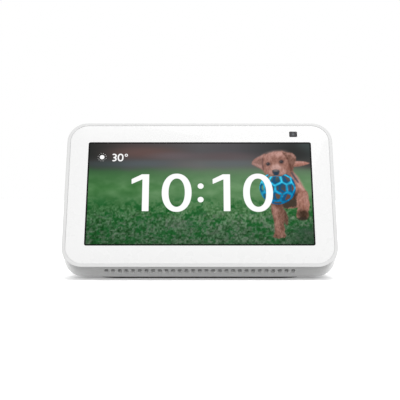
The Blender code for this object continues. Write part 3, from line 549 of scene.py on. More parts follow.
def near_segment(x, y, start, end):
    """For each point, the share along a segment where it is nearest, and how far away it is."""
    dx, dy = end[0] - start[0], end[1] - start[1]
    along = (x - start[0]) * dx + (y - start[1]) * dy
    share = np.clip(along / max(dx * dx + dy * dy, 1e-9), 0, 1)
    return share, np.hypot(x - start[0] - share * dx, y - start[1] - share * dy)


def between_stops(at, stops, colours):
    """A colour for each value, read between the colours at the stops."""
    return np.stack([np.interp(at, stops, channel) for channel in zip(*colours)], -1)


def smooth_outline(points, steps=5):
    """A closed Catmull-Rom curve through the points."""
    points = np.array(points, float)
    before, after = np.roll(points, 1, 0), np.roll(points, -1, 0)
    beyond = np.roll(points, -2, 0)
    rows = []
    for step in range(steps):
        t = step / steps
        rows.append(
            0.5 * (2 * points + (after - before) * t
                   + (2 * before - 5 * points + 4 * after - beyond) * t**2
                   + (3 * points - before - 3 * after + beyond) * t**3)
        )
    return np.stack(rows, 1).reshape(-1, 2)


class Canvas:
    """The picture as a colour for each point of the screen's grid."""

    def __init__(self, x, y):
        self.x, self.y = x, y
        self.colour = np.zeros(x.shape + (3,))

    def tint(self, mask, colour):
        """Blends a colour over the picture where the mask is 1."""
        self.colour += mask[..., None] * (np.asarray(colour, float) - self.colour)

    def blob(self, centre, radii, soft=0.3, turn=0.0):
        """A soft-edged ellipse's mask; soft is the edge's width as a share of the radius."""
        c, s = math.cos(math.radians(turn)), math.sin(math.radians(turn))
        dx, dy = self.x - centre[0], self.y - centre[1]
        across = (dx * c + dy * s) / radii[0]
        along = (dy * c - dx * s) / radii[1]
        return 1 - ease(1 - soft, 1 + soft, np.hypot(across, along))

    def inside(self, points, soft=0.35, ragged=0.0, seed=0):
        """A mask of a closed outline with an edge that is soft and, for fur, ragged."""
        outline = smooth_outline(points)
        reach = soft + ragged + 0.5
        low, high = outline.min(0) - reach, outline.max(0) + reach
        near = (self.x > low[0]) & (self.x < high[0]) & (self.y > low[1]) & (self.y < high[1])
        x, y = self.x[near], self.y[near]
        distance = np.full(x.shape, 1e9)
        within = np.zeros(x.shape, bool)
        for start, end in zip(outline, np.roll(outline, -1, 0)):
            distance = np.minimum(distance, near_segment(x, y, start, end)[1])
            run, rise = end - start
            crosses = (start[1] > y) != (end[1] > y)
            rise = rise if abs(rise) > 1e-9 else 1e-9
            within ^= crosses & (x < start[0] + (y - start[1]) * run / rise)
        signed = np.where(within, distance, -distance)
        if ragged:
            signed += ragged * (value_noise(x * 2.2, y * 2.2, seed) - 0.5) * 2
        mask = np.zeros(self.x.shape)
        mask[near] = ease(-soft, soft, signed)
        return mask

    def stroke(self, points, width, soft):
        """A mask of a round-ended line; width may be one value or one for each point."""
        widths = width if hasattr(width, "__len__") else [width] * len(points)
        mask = np.zeros(self.x.shape)
        for start, end, start_width, end_width in zip(points, points[1:], widths, widths[1:]):
            share, distance = near_segment(self.x, self.y, start, end)
            radius = (start_width + (end_width - start_width) * share) / 2
            mask = np.maximum(mask, 1 - ease(-soft, soft, distance - radius))
        return mask

    def fill(self, colour, points, *edge):
        """Paints a closed outline."""
        self.tint(self.inside(points, *edge), colour)

    def line(self, colour, amount, points, width, soft):
        """Paints a line at a strength from 0 to 1."""
        self.tint(self.stroke(points, width, soft) * amount, colour)

    def spot(self, colour, amount, centre, radii, *edge):
        """Paints an ellipse at a strength from 0 to 1."""
        self.tint(self.blob(centre, radii, *edge) * amount, colour)


def paint_meadow(canvas):
    """A lawn in soft focus before a dark hedge, sharper and darker towards the bottom."""
    x, y = canvas.x, canvas.y
    drift = (cloud(x / 13, y / 7, 3, 1) - 0.5) * 2
    across = [-62, -40, 0, 20, 50, 62]
    tops = [(40, 42, 40), (74, 66, 66), (86, 85, 87), (78, 77, 80), (48, 50, 50), (54, 60, 60)]
    lows = [(60, 60, 60), (80, 80, 82), (104, 103, 102), (98, 98, 100), (84, 80, 78), (64, 62, 60)]
    canvas.colour = between_stops(x, across, tops)
    canvas.tint(ease(24, 17, y + drift), between_stops(x, across, lows))
    for centre, radii, colour, amount in (
        ((-30, 24.5), (17, 3.2), (104, 80, 76), 0.75),
        ((-14, 22.5), (12, 2.0), (104, 94, 98), 0.7),
        ((14, 22.3), (17, 2.3), (100, 84, 86), 0.55),
        ((-52, 17.5), (12, 1.8), (60, 76, 76), 0.5),
        ((-30, 17.6), (14, 2.0), (84, 94, 98), 0.6),
        ((16, 17.5), (16, 1.8), (92, 101, 102), 0.6),
        ((59, 28), (4, 3), (66, 80, 78), 0.5),
        ((53, 24), (7, 4), (42, 42, 41), 0.7),
    ):
        canvas.spot(colour, amount, centre, radii, 0.8)

    heights = [-31, -20, -10, 3, 10, 17]
    left = [(34, 70, 38), (42, 88, 48), (62, 108, 64), (72, 122, 70), (62, 108, 62), (50, 80, 56)]
    right = [(50, 82, 54), (66, 102, 69), (80, 122, 78), (98, 140, 94), (94, 130, 92), (92, 106, 92)]
    lawn, lawn_right = between_stops(y, heights, left), between_stops(y, heights, right)
    lawn += ease(-62, 10, x + drift * 6)[..., None] * (lawn_right - lawn)
    canvas.tint(ease(17.5, 12.5, y + drift * 1.2), lawn)

    # Soft tufts in the middle distance, then sharper blades and stalks near the viewer.
    middle = ease(14, 4, y) * ease(-16, -4, y)
    soft_tufts = (cloud(x / 6, y / 3.6, 3, 11) - 0.5) * 2
    canvas.colour += (middle * soft_tufts)[..., None] * np.array([22, 17, 20])
    near = ease(-3, -13, y)
    tufts = (cloud(x / 2.3, y / 2.6, 4, 21) - 0.5) * 2
    blades = (cloud((x + 0.35 * y) / 0.5, y / 1.5, 3, 31) - 0.5) * 2
    other = (cloud((x - 0.4 * y) / 0.5, y / 1.5, 3, 35) - 0.5) * 2
    grain = (value_noise(x / 0.95, y / 0.85, 37) - 0.5) * 2
    texture = near * (0.4 * tufts + 0.6 * blades + 0.6 * other + 0.8 * grain)
    canvas.colour += texture[..., None] * np.array([40, 33, 38])
    clumps = 0.5 * cloud(x / 5.5, y / 3.2, 2, 41) + 0.5 * cloud(x / 1.3, y / 1.2, 3, 43)
    dark = ease(0, -10, y) * ease(0.47, 0.64, clumps)
    dark *= 1 - 0.4 * ease(-22, -31, y)
    canvas.tint(dark * 0.8, (14, 84, 30))
    dry = ease(-9, -15, y) * ease(0.5, 0.7, cloud(x / 1.5, y / 1.2, 3, 51))
    canvas.tint(dry * 0.45, (116, 120, 112))
    pale = canvas.blob((57, -22.5), (5, 1.8), 0.8) + canvas.blob((-12, -18), (7, 2.4), 0.9) * 0.5
    canvas.tint(pale * 0.5, (98, 98, 98))
    canvas.spot((24, 52, 32), 0.5, (61, -28), (11, 7), 0.9)


FUR = (146, 104, 92)
FUR_LIGHT = (196, 152, 143)
FUR_PALE = (214, 176, 168)
FUR_DARK = (112, 78, 66)


def paint_body(canvas):
    """The puppy's tail, flank and legs, in a trot towards the viewer."""
    fill, line, spot = canvas.fill, canvas.line, canvas.spot
    tail = canvas.stroke([(50.5, 17.4), (55, 17.7), (58, 17.9), (60.2, 18.0)], [3.6, 3.2, 2.2, 0.8], 0.4)
    canvas.tint(tail, (168, 116, 103))
    line(FUR_LIGHT, 0.6, [(52, 18.5), (57, 18.6)], 0.9, 0.6)
    line(FUR_DARK, 0.5, [(51.5, 16.2), (56.5, 16.8)], 0.8, 0.6)

    flank = [
        (47, 13), (50.6, 13.6), (51.9, 12.4), (54, 9), (55.6, 5.6), (57.6, 2), (58.8, 0), (59.3, -4),
        (59.5, -8), (54, -8.5), (50.5, -9.2), (46, -9), (44.5, -5), (46, 4),
    ]
    fill((150, 104, 90), flank, 0.4, 0.25, 3)
    line((203, 160, 152), 0.8, [(51.3, 11.5), (53.2, 8.4), (54.8, 4.8), (56.6, 1.8)],
         [1.6, 2.6, 2.8, 1.6], 1.1)
    line((142, 98, 84), 0.7, [(52.5, 3.5), (53.5, 0.2), (55, -1)], [2, 3, 2], 1.2)
    spot((76, 54, 44), 0.9, (51.6, -2.6), (3.4, 3.6), 0.6, 30)
    spot((120, 84, 64), 0.7, (50.2, -5.6), (2.4, 2.2), 0.6)

    line((48, 52, 66), 0.75, [(50.6, 12.2), (52.6, 8.6), (54.0, 6.4)], [1.0, 1.3, 0.8], 0.5)
    belly = [
        (44.5, -4.5), (52.5, -4), (53.2, -6.4), (51.8, -8.5), (49.5, -8.4), (47.6, -9.5), (45.2, -8.2),
    ]
    fill((66, 56, 46), belly, 0.5, 0.5, 5)

    raised = [
        (53.4, -1), (56, 0.6), (58.6, 0.4), (59.4, -4), (59.5, -9), (58.9, -11.5), (59.1, -13.5),
        (58.2, -15.4), (55.6, -16.1), (53.4, -15.4), (52.2, -14.2), (52.6, -11.5), (53.2, -8),
        (52.8, -5),
    ]
    fill((158, 112, 98), raised, 0.4, 0.25, 7)
    line((190, 145, 134), 0.65, [(57.6, -0.5), (57.9, -4), (57.6, -7.5)], [2, 2.4, 1.6], 0.9)
    line((120, 82, 68), 0.55, [(54.2, -6), (54.6, -10), (53.6, -13)], [1.6, 2, 2], 1.0)
    spot((60, 44, 32), 0.95, (56.0, -12.8), (2.9, 2.8), 0.5)
    spot((48, 42, 34), 0.9, (55.8, -15.3), (2.8, 0.9), 0.5)
    spot((170, 124, 110), 0.4, (56.6, -9.8), (2.0, 0.8), 0.7, 10)

    hind = [
        (44.6, -8.6), (46.6, -11), (47.8, -14.8), (47.5, -18.6), (46.4, -18.9), (45.2, -16),
        (43.8, -12),
    ]
    fill((100, 74, 61), hind, 0.4, 0.2, 9)

    fore = [
        (39.4, -5.6), (44.6, -6.6), (45.3, -10), (45.8, -14), (45.4, -18.5), (45.9, -21.5),
        (45.7, -23.4), (46.5, -25.2), (45.7, -26.3), (44, -26.5), (42.3, -26.9), (40.6, -26.3),
        (39.4, -25.8), (40.3, -23.4), (40.3, -20.4), (39.9, -16), (39, -12), (38.7, -8.5),
    ]
    fill((126, 91, 78), fore, 0.4, 0.25, 11)
    line((176, 130, 118), 0.6, [(40.6, -8), (41.2, -12), (41.8, -17), (42.4, -22)],
         [1.6, 2.2, 2.0, 2.4], 1.1)
    line((112, 77, 64), 0.6, [(44.5, -8), (44.6, -12.5), (44.3, -18.5), (45.2, -22)],
         [1.4, 1.7, 1.5, 1.2], 0.8)
    line((96, 66, 56), 0.65, [(40.4, -6.8), (44, -7.2)], 2.2, 1.0)
    spot((150, 110, 96), 0.5, (43.2, -24.2), (2.6, 1.2), 0.7)
    for toe in (41.2, 43.1, 44.9):
        line((78, 56, 44), 0.7, [(toe, -24.9), (toe, -26.4)], 0.45, 0.35)


def paint_head(canvas):
    """The puppy's head: ears, crown, muzzle, eyes and nose."""
    fill, line, spot = canvas.fill, canvas.line, canvas.spot
    left_ear = [
        (36.2, 23.6), (33.4, 22.2), (30.6, 20.7), (29.0, 19.0), (28.7, 17.5), (30.0, 16.5),
        (32.2, 15.3), (34.2, 14.0), (35.2, 13.8), (35.6, 17), (36.6, 20.6),
    ]
    fill((140, 104, 95), left_ear, 0.35, 0.2, 13)
    line((190, 145, 136), 0.75, [(35.5, 22.9), (32.6, 21.2), (30.2, 19.4)], [1.2, 1.4, 1.0], 0.7)
    line((196, 156, 150), 0.55, [(34.2, 15.4), (32, 16.8), (30, 17.6)], [1.4, 1.4, 0.6], 0.8)

    skull = [
        (35.0, 21.4), (35.6, 23.2), (37.2, 23.6), (39.6, 24.6), (42, 25.2), (44.6, 25.3), (45.6, 25.7),
        (46.8, 25.0), (49.6, 24.0), (51, 20), (50.6, 16), (50.2, 12.4), (49.4, 10.4), (47, 9.6),
        (42, 9.2), (38.2, 9.8), (36.6, 10.9), (35.4, 12.8), (35.1, 15.6), (34.9, 18.5),
    ]
    fill(FUR, skull, 0.35, 0.2, 17)
    line((104, 76, 72), 0.75, [(34.9, 20.6), (34.7, 17.8), (35.2, 14.2)], [0.7, 0.8, 0.8], 0.4)

    spot((190, 146, 136), 0.95, (42, 23.4), (5.6, 2.0), 0.7, 8)
    spot((176, 130, 120), 0.5, (37.4, 21.4), (1.7, 1.8), 0.8)
    line((146, 102, 90), 0.5, [(41.2, 21.6), (41.4, 18.4)], [2.6, 1.6], 1.0)
    line((140, 98, 86), 0.45, [(44.6, 22.3), (45.2, 20.6), (46.8, 20.0)], [1.2, 1.0, 0.8], 0.7)
    line((180, 136, 124), 0.45, [(39.6, 20.2), (37.6, 19.6)], 1.0, 0.6)
    line((178, 134, 122), 0.4, [(43.6, 20.9), (46.2, 20.8)], 0.9, 0.6)
    spot((140, 97, 84), 0.55, (48.6, 14.6), (2.4, 3.4), 0.8)
    spot((172, 128, 116), 0.4, (47.9, 17.6), (1.4, 2.6), 0.8, 10)
    spot((168, 124, 114), 0.5, (36.6, 14.0), (1.8, 2.2), 0.8)

    muzzle = [
        (39.2, 16.2), (41.2, 17.6), (43.6, 17.2), (45.6, 15.6), (47.0, 13.2), (47.6, 11.3),
        (45.4, 10.2), (42, 9.9), (38.6, 10.3), (37.0, 11.6), (37.8, 14.2),
    ]
    canvas.tint(canvas.inside(muzzle, 1.0) * 0.8, (166, 124, 113))
    spot(FUR_PALE, 0.7, (42.2, 15.4), (2.4, 1.8), 0.6)
    spot((190, 146, 134), 0.4, (41.6, 17.8), (1.2, 1.4), 0.8)
    spot((206, 165, 156), 0.5, (46.2, 12.6), (1.0, 1.5), 0.7, -20)
    spot((200, 158, 148), 0.45, (38.6, 12.6), (0.9, 1.3), 0.7, 20)
    line((104, 76, 68), 0.6, [(37.4, 10.9), (39.4, 10.7), (41, 10.2)], 0.8, 0.5)
    line((110, 80, 70), 0.6, [(43.4, 10.3), (46, 10.6), (47.8, 11.2)], 0.9, 0.5)

    nose = [
        (40.0, 13.4), (41.0, 14.0), (42.9, 14.0), (44.0, 13.3), (43.7, 11.9), (42.8, 10.7),
        (41.2, 10.6), (40.3, 11.8),
    ]
    fill((58, 62, 70), nose, 0.35)
    spot((132, 120, 118), 0.8, (41.9, 13.4), (1.5, 0.5), 0.6)
    spot((28, 58, 78), 0.9, (42.2, 11.6), (1.3, 0.9), 0.5)

    for centre in ((37.8, 17.5), (45.2, 18.9)):
        spot((116, 84, 78), 0.75, centre, (1.5, 1.25), 0.45, 10)
        spot((52, 48, 52), 0.95, centre, (1.05, 0.95), 0.4)
        glint = (centre[0] - 0.3, centre[1] + 0.35)
        spot((150, 146, 150), 0.5, glint, (0.3, 0.25), 0.6)

    right_ear = [
        (45.6, 25.0), (47.8, 24.3), (50.2, 24.6), (52.2, 23.6), (53.4, 21.6), (53.2, 19.2), (52.2, 17),
        (51.6, 14.8), (50.9, 12.9), (50.3, 14), (50.1, 16.6), (49.5, 19.2), (48.4, 21.6), (46.8, 23.6),
    ]
    fill((122, 87, 75), right_ear, 0.35, 0.2, 19)
    line((96, 64, 54), 0.8, [(46.2, 24.2), (48, 22.2), (49.2, 19.6), (49.8, 16.6), (50.3, 13.4)],
         [0.5, 0.9, 0.9, 0.8, 0.6], 0.35)
    line((186, 142, 132), 0.7, [(48.4, 23.9), (51, 23.5), (52.6, 21.6)], [0.9, 1.4, 1.0], 0.7)


def brush_fur(canvas, before):
    """Short hairs over everything that the puppy's layers changed."""
    x, y = canvas.x, canvas.y
    changed = ease(8, 40, np.abs(canvas.colour - before).sum(-1))
    warm = ease(6, 26, canvas.colour[..., 0] - canvas.colour[..., 1])
    flow = 0.5 * np.sin(x * 0.35) + 0.3 * np.sin(y * 0.4)
    hairs = cloud((x + y * flow * 0.12) / 0.5, y / 1.1, 3, 61) - 0.5
    blotches = cloud(x / 2.2, y / 2.6, 3, 71) - 0.5
    shade = changed * warm * (hairs * 52 + blotches * 44)
    canvas.colour += shade[..., None] * np.array([1.0, 0.95, 0.95])


BALL_CENTRE = (42.65, 3.0)
BALL_RADIUS = 9.85
BALL_FACING = (0.218, -0.03, 0.975)
BALL_SHADE = (0, 80, 130)
BALL_LIGHT = (10, 108, 104)
BALL_GLINT = (60, 30, 10)
STRUT_GAP = 0.052
BALL_VIEW = [
    (36.4, 11.4), (38.6, 9.9), (41.6, 10.1), (44.6, 9.9), (46.4, 10.9), (48.4, 11.2), (50.4, 10.2),
    (53.2, 6), (53.6, 0), (50, -6.4), (43, -7.6), (35, -6), (31.6, 0), (31.8, 6.5),
]


def unit(vector):
    """The vector, or each row of an array, at length one."""
    vector = np.asarray(vector, float)
    return vector / np.linalg.norm(vector, axis=-1, keepdims=True)


def ball_cells():
    """The cell centres of a football pattern on the unit sphere, turned so that one faces us."""
    golden = (1 + math.sqrt(5)) / 2
    signs = (-1, 1)
    cells = [(a, b, c) for a in signs for b in signs for c in signs]
    for a in signs:
        for b in signs:
            for turn in range(3):
                cells.append(tuple(np.roll((0, a, b * golden), turn)))
                cells.append(tuple(np.roll((0, a * golden, b / golden), turn)))
    cells = unit(cells)
    middle = unit((1, 1, 1))
    rest = cells - (cells @ middle)[:, None] * middle
    order = np.argsort(-(cells @ middle))
    side = unit(rest[order[1]])
    lattice = np.stack([side, np.cross(middle, side), middle], 1)
    facing = unit(BALL_FACING)
    right = unit(np.cross((0, 1, 0), facing))
    up = np.cross(facing, right)
    view = np.stack([right, up, facing], 1)
    return cells @ lattice @ view.T


def struts(points):
    """A round strut's height where two cells meet on the sphere: 1 on its ridge, 0 at its edge."""
    closeness = np.sort(points @ ball_cells().T, axis=-1)
    width = STRUT_GAP * (1 + 0.7 * (1 - np.abs(points[..., 2])))
    gap = (closeness[..., -1] - closeness[..., -2]) / width
    return np.sqrt(np.clip(1 - gap**2, 0, 1))


def paint_ball(canvas):
    """A blue rubber lattice ball in the puppy's mouth: near struts over the far side's darker ones."""
    dx = (canvas.x - BALL_CENTRE[0]) / BALL_RADIUS
    dy = (canvas.y - BALL_CENTRE[1]) / BALL_RADIUS
    around = np.hypot(dx, dy)
    depth = np.sqrt(np.clip(1 - around**2, 0.0001, 1))
    lip = canvas.inside(BALL_VIEW, 0.25)
    disc = (1 - ease(0.985, 1.02, around)) * lip
    near = struts(np.stack([dx, dy, depth], -1))
    far = struts(np.stack([dx * 1.08, dy * 1.08, -depth], -1))
    rim = ease(0.9, 0.97, around)
    canvas.tint(disc * canvas.blob((46, 1.5), (8.5, 9), 0.4) * 0.85, (96, 66, 58))
    canvas.tint(disc * ease(0.1, 0.5, far) * 0.9, (6, 86, 132))
    canvas.tint(disc * canvas.blob((43.8, 5.6), (6.5, 3.6), 0.6) * 0.6, (18, 76, 112))
    light = np.clip(0.68 + 0.38 * dy - 0.08 * dx, 0.2, 1)
    glint = ease(0.8, 1.0, near) * ease(0.35, 0.9, light)
    colour = BALL_SHADE + (light * near)[..., None] * BALL_LIGHT + glint[..., None] * BALL_GLINT
    lumps = cloud(canvas.x / 1.1, canvas.y / 1.1, 2, 91) - 0.5
    colour = colour * (1 + 0.5 * lumps[..., None])
    solid = np.maximum(ease(0.12, 0.4, near), rim * 0.9)
    canvas.tint(disc * solid, np.clip(colour, 0, 255))


def paint_picture(x, y):
    """The whole picture, as display colours from 0 to 1."""
    canvas = Canvas(x, y)
    paint_meadow(canvas)
    before = canvas.colour.copy()
    paint_body(canvas)
    paint_head(canvas)
    brush_fur(canvas, before)
    paint_ball(canvas)
    return np.clip(canvas.colour / 255, 0, 1)


# ---------------------------------------------------------------- clock figures, as distances


def stroke_distance(x, y, points, half_width):
    """How far each point is inside a round-ended line of the given half width; negative outside."""
    away = [near_segment(x, y, start, end)[1] for start, end in zip(points, points[1:])]
    return half_width - np.minimum.reduce(away)


def ellipse_distance(x, y, centre, radii, power=2.0):
    """How far each point is inside an ellipse, or a squarer form for a higher power."""
    dx, dy = np.abs(x - centre[0]) / radii[0], np.abs(y - centre[1]) / radii[1]
    level = (dx**power + dy**power) ** (1 / power)
    slope = np.hypot(
        (dx / np.maximum(level, 1e-6)) ** (power - 1) / radii[0],
        (dy / np.maximum(level, 1e-6)) ** (power - 1) / radii[1],
    )
    return (1 - level) / np.maximum(slope, 1e-6)


def polygon_distance(x, y, points):
    """How far each point is inside a convex outline given clockwise."""
    best = np.full(x.shape, 1e9)
    for (ax, ay), (bx, by) in zip(points, points[1:] + points[:1]):
        dx, dy = bx - ax, by - ay
        best = np.minimum(best, ((y - ay) * -dx + (x - ax) * dy) / math.hypot(dx, dy))
    return best


ONE_STEM = [(-31.6, 11.3), (-27.75, 11.3), (-27.75, -11.0), (-31.6, -11.0)]
ONE_FLAG = [(-37.6, 8.3), (-31.9, 11.3), (-31, 11.3), (-31, 8.3), (-37.5, 5.2)]
ZERO_CENTRE = (-12.65, 0.15)
ZERO_OUTER = (8.25, 11.55)
ZERO_INNER = (4.35, 8.4)
ZERO_POWER = 2.15
COLON_X = 0.45
COLON_HEIGHTS = (-4.05, 4.05)
COLON_RADIUS = 1.75
DIGIT_STEP = 44.5


def clock_distance(x, y):
    """The time, 10:10, in upright figures with flat-ended strokes."""
    shapes = []
    for start in (0, DIGIT_STEP):
        dx = x - start
        outer = ellipse_distance(dx, y, ZERO_CENTRE, ZERO_OUTER, ZERO_POWER)
        inner = ellipse_distance(dx, y, ZERO_CENTRE, ZERO_INNER, ZERO_POWER)
        shapes += [polygon_distance(dx, y, ONE_STEM), polygon_distance(dx, y, ONE_FLAG)]
        shapes.append(np.minimum(outer, -inner))
    for height in COLON_HEIGHTS:
        shapes.append(ellipse_distance(x, y, (COLON_X, height), (COLON_RADIUS, COLON_RADIUS)))
    return np.maximum.reduce(shapes)


SUN = (-54.2, 21.7)
SUN_RADIUS = 1.3
SUN_RAYS = 12
SUN_RAY_SPAN = (2.15, 2.45)
SUN_RAY_HALF_WIDTH = 0.13
SMALL_FIGURES_Y = 21.5
THREE_X = -47.55
THREE_BOWL = (1.1, 0.98)
THREE_RISE = 1.03
THREE_HALF_WIDTH = 0.38
SMALL_ZERO_X = -43.95
SMALL_ZERO_OUTER = (1.65, 2.35)
SMALL_ZERO_INNER = (0.88, 1.6)
SMALL_ZERO_POWER = 2.3
DEGREE_CENTRE = (-40.8, 22.9)
DEGREE_RADIUS = 0.9
DEGREE_WIDTH = 0.45


def weather_distance(x, y):
    """A small sun and the temperature, 30 degrees."""
    shapes = [ellipse_distance(x, y, SUN, (SUN_RADIUS, SUN_RADIUS))]
    for ray in range(SUN_RAYS):
        angle = 2 * math.pi * (ray + 0.5) / SUN_RAYS
        ends = [(SUN[0] + r * math.cos(angle), SUN[1] + r * math.sin(angle)) for r in SUN_RAY_SPAN]
        shapes.append(stroke_distance(x, y, ends, SUN_RAY_HALF_WIDTH))
    for sign in (1, -1):
        centre_y = SMALL_FIGURES_Y + sign * THREE_RISE
        wide, tall = THREE_BOWL
        turns = [math.radians(degrees) for degrees in range(-90, 150, 30)]
        bowl = [(THREE_X + wide * math.cos(a), centre_y + sign * tall * math.sin(a)) for a in turns]
        shapes.append(stroke_distance(x, y, bowl, THREE_HALF_WIDTH))
    zero_centre = (SMALL_ZERO_X, SMALL_FIGURES_Y)
    outer = ellipse_distance(x, y, zero_centre, SMALL_ZERO_OUTER, SMALL_ZERO_POWER)
    inner = ellipse_distance(x, y, zero_centre, SMALL_ZERO_INNER, SMALL_ZERO_POWER)
    shapes.append(np.minimum(outer, -inner))
    ring = ellipse_distance(x, y, DEGREE_CENTRE, (DEGREE_RADIUS, DEGREE_RADIUS))
    shapes.append(np.minimum(ring, DEGREE_WIDTH - ring))
    return np.maximum.reduce(shapes)


# ---------------------------------------------------------------- front


def cover_glass():
    """The white printed border of the front glass, open for the screen and the camera."""
    bm = bmesh.new()

    def outline(inset):
        grown = PANEL_GROWTH - inset
        width, height = GLASS_WIDTH + 2 * grown, GLASS_HEIGHT + 2 * grown
        return rounded_loop(width, height, GLASS_CORNER + grown, steps=24)

    window = rounded_loop(WINDOW_WIDTH, WINDOW_HEIGHT, WINDOW_CORNER)
    camera = rounded_loop(*CAMERA_HOLE, CAMERA_CORNER, (CAMERA_X, CAMERA_Y))
    plate(bm, outline, (window, camera), 0, -GLASS_THICKNESS, GLASS_EDGE)
    piece = new_piece("cover_glass", mesh_from(bm, "cover_glass", face_matrix), "printed_glass")
    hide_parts("front_panel")


def round_corners(x, y, width, height, corner):
    """Carries a rectangular grid onto a rounded rectangle, moving only the points in its corners."""
    cx, cy = width / 2 - corner, height / 2 - corner
    dx = np.clip((np.abs(x) - cx) / corner, 0, 1)
    dy = np.clip((np.abs(y) - cy) / corner, 0, 1)
    moved = (dx > 0) & (dy > 0)
    new_x = np.where(moved, np.sign(x) * (cx + corner * dx * np.sqrt(1 - dy**2 / 2)), x)
    new_y = np.where(moved, np.sign(y) * (cy + corner * dy * np.sqrt(1 - dx**2 / 2)), y)
    return new_x, new_y


SCREEN_GAP = 0.03 * MM
SCREEN_DEPTH = 0.03 * MM
SCREEN_COLUMNS = 401
SCREEN_ROWS = 201
MASK_WIDTH = 0.85 * MM


def linear_light(shown):
    """Linear light from display values, by the sRGB curve."""
    return np.where(shown <= 0.04045, shown / 12.92, ((shown + 0.055) / 1.055) ** 2.4)


def add_values(mesh, name, distance):
    """Stores a distance for each of the mesh's first points; the points behind them are outside."""
    values = np.full(len(mesh.vertices), -1 * MM, np.float32)
    values[: len(distance)] = distance
    mesh.attributes.new(name, "FLOAT", "POINT").data.foreach_set("value", values)


def screen_grid():
    """The lit area's front as a fine grid with rounded corners: its x and y."""
    width, height = WINDOW_WIDTH - 2 * SCREEN_GAP, WINDOW_HEIGHT - 2 * SCREEN_GAP
    across = np.linspace(-width / 2, width / 2, SCREEN_COLUMNS)
    upward = np.linspace(-height / 2, height / 2, SCREEN_ROWS)
    return round_corners(*np.meshgrid(across, upward), width, height, WINDOW_CORNER)


def screen_glass_piece():
    """The lit area of the glass: a fine grid that carries the picture, closed behind."""
    x, y = screen_grid()
    index = np.arange(x.size).reshape(x.shape)
    x, y = x.ravel(), y.ravel()
    front = np.stack([x, y, np.full(x.size, -SCREEN_DEPTH)], 1)
    rim = np.concatenate([index[0, :-1], index[:-1, -1], index[-1, :0:-1], index[:0:-1, 0]])
    back = front[rim] - (0, 0, GLASS_THICKNESS - SCREEN_DEPTH)
    behind = np.arange(len(rim)) + len(front)
    quads = np.stack([index[:-1, :-1], index[:-1, 1:], index[1:, 1:], index[1:, :-1]], -1).reshape(-1, 4)
    walls = np.stack([rim, behind, np.roll(behind, -1), np.roll(rim, -1)], -1)
    faces = [*quads.tolist(), *walls.tolist(), behind[::-1].tolist()]
    mesh = bpy.data.meshes.new("screen_glass")
    mesh.from_pydata(np.concatenate([front, back]).tolist(), [], faces)
    mesh.transform(face_matrix)

    colours = np.ones((len(mesh.vertices), 4), np.float32)
    colours[: x.size, :3] = linear_light(paint_picture(x / MM, y / MM))
    picture = mesh.attributes.new("picture", "FLOAT_COLOR", "POINT")
    picture.data.foreach_set("color", colours.ravel())
    add_values(mesh, "clock", clock_distance(x / MM, y / MM) * MM)
    add_values(mesh, "weather", weather_distance(x / MM, y / MM) * MM)
    from_edge = np.minimum(WINDOW_WIDTH / 2 - np.abs(x), WINDOW_HEIGHT / 2 - np.abs(y))
    add_values(mesh, "mask", MASK_WIDTH - from_edge)
    new_piece("screen_glass", mesh, "screen_glass")


# ---------------------------------------------------------------- rear

BODY_DEPTH = 73 * MM
REAR_START = 15.9 * MM
REAR_FRONT_HALF_WIDTH = 73.6 * MM
REAR_BACK_HALF_WIDTH = 48 * MM
REAR_FRONT_HEIGHT = 85.2 * MM
REAR_BACK_HEIGHT = 14 * MM
REAR_TOP_POWER = 1.25
REAR_SIDE_POWER = 2.0
REAR_LIFT = 5 * MM
REAR_LIFT_POWER = 4
REAR_BULGE = 0.35 * MM
REAR_UNDERSIDE = 1.1 * MM
REAR_CORNER = 10.6 * MM
REAR_LOW_TIGHTENS = 6.4 * MM
REAR_HIGH_WIDENS = 18 * MM
FABRIC_THICKNESS = 0.6 * MM
CLEARANCE = 0.3 * MM
foot_low, foot_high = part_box("rubber_foot")
bezel_low, bezel_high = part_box("port_bezel")


def floor_y(depth, height):
    """The face-frame y of a point at a depth and a height above the table."""
    return (height - face_centre.z + depth * math.sin(LEAN)) / math.cos(LEAN)


def depth_on_floor(world_y, height):
    """The face-frame depth of a point at a place from front to back and a height above the table."""
    return (world_y - face_centre.y) * math.cos(LEAN) - (height - face_centre.z) * math.sin(LEAN)


REAR_TOP = REAR_UNDERSIDE + REAR_BACK_HEIGHT * math.cos(LEAN)
REAR_END = depth_on_floor(BODY_DEPTH / 2 - REAR_BULGE, REAR_TOP)


def quarter(share, power):
    """Falls from 1 to 0 along a quarter of a superellipse."""
    return (1 - share**power) ** (1 / power)


def rear_section(share, steps):
    """The rear body's rounded outline at a share of its depth, as face-frame points."""
    depth = REAR_START + share * (REAR_END - REAR_START)
    half_width = REAR_BACK_HALF_WIDTH
    half_width += (REAR_FRONT_HALF_WIDTH - REAR_BACK_HALF_WIDTH) * quarter(share, REAR_SIDE_POWER)
    floor = floor_y(depth, REAR_UNDERSIDE)
    low = floor + REAR_LIFT * (1 - quarter(share, REAR_LIFT_POWER))
    high = floor + REAR_BACK_HEIGHT
    high += (REAR_FRONT_HEIGHT - REAR_BACK_HEIGHT) * quarter(share, REAR_TOP_POWER)
    low_corner = REAR_CORNER - REAR_LOW_TIGHTENS * share
    high_corner = min(REAR_CORNER + REAR_HIGH_WIDENS * share, high - low - low_corner)
    points = []
    for sx, y, corner, start in ((1, high, high_corner, 0), (-1, high, high_corner, 90),
                                 (-1, low, low_corner, 180), (1, low, low_corner, 270)):
        centre_y = y - corner if y == high else y + corner
        for step in range(steps + 1):
            angle = math.radians(start + 90 * step / steps)
            x = sx * (half_width - corner) + corner * math.cos(angle)
            points.append(Vector((x, centre_y + corner * math.sin(angle), -depth)))
    return points


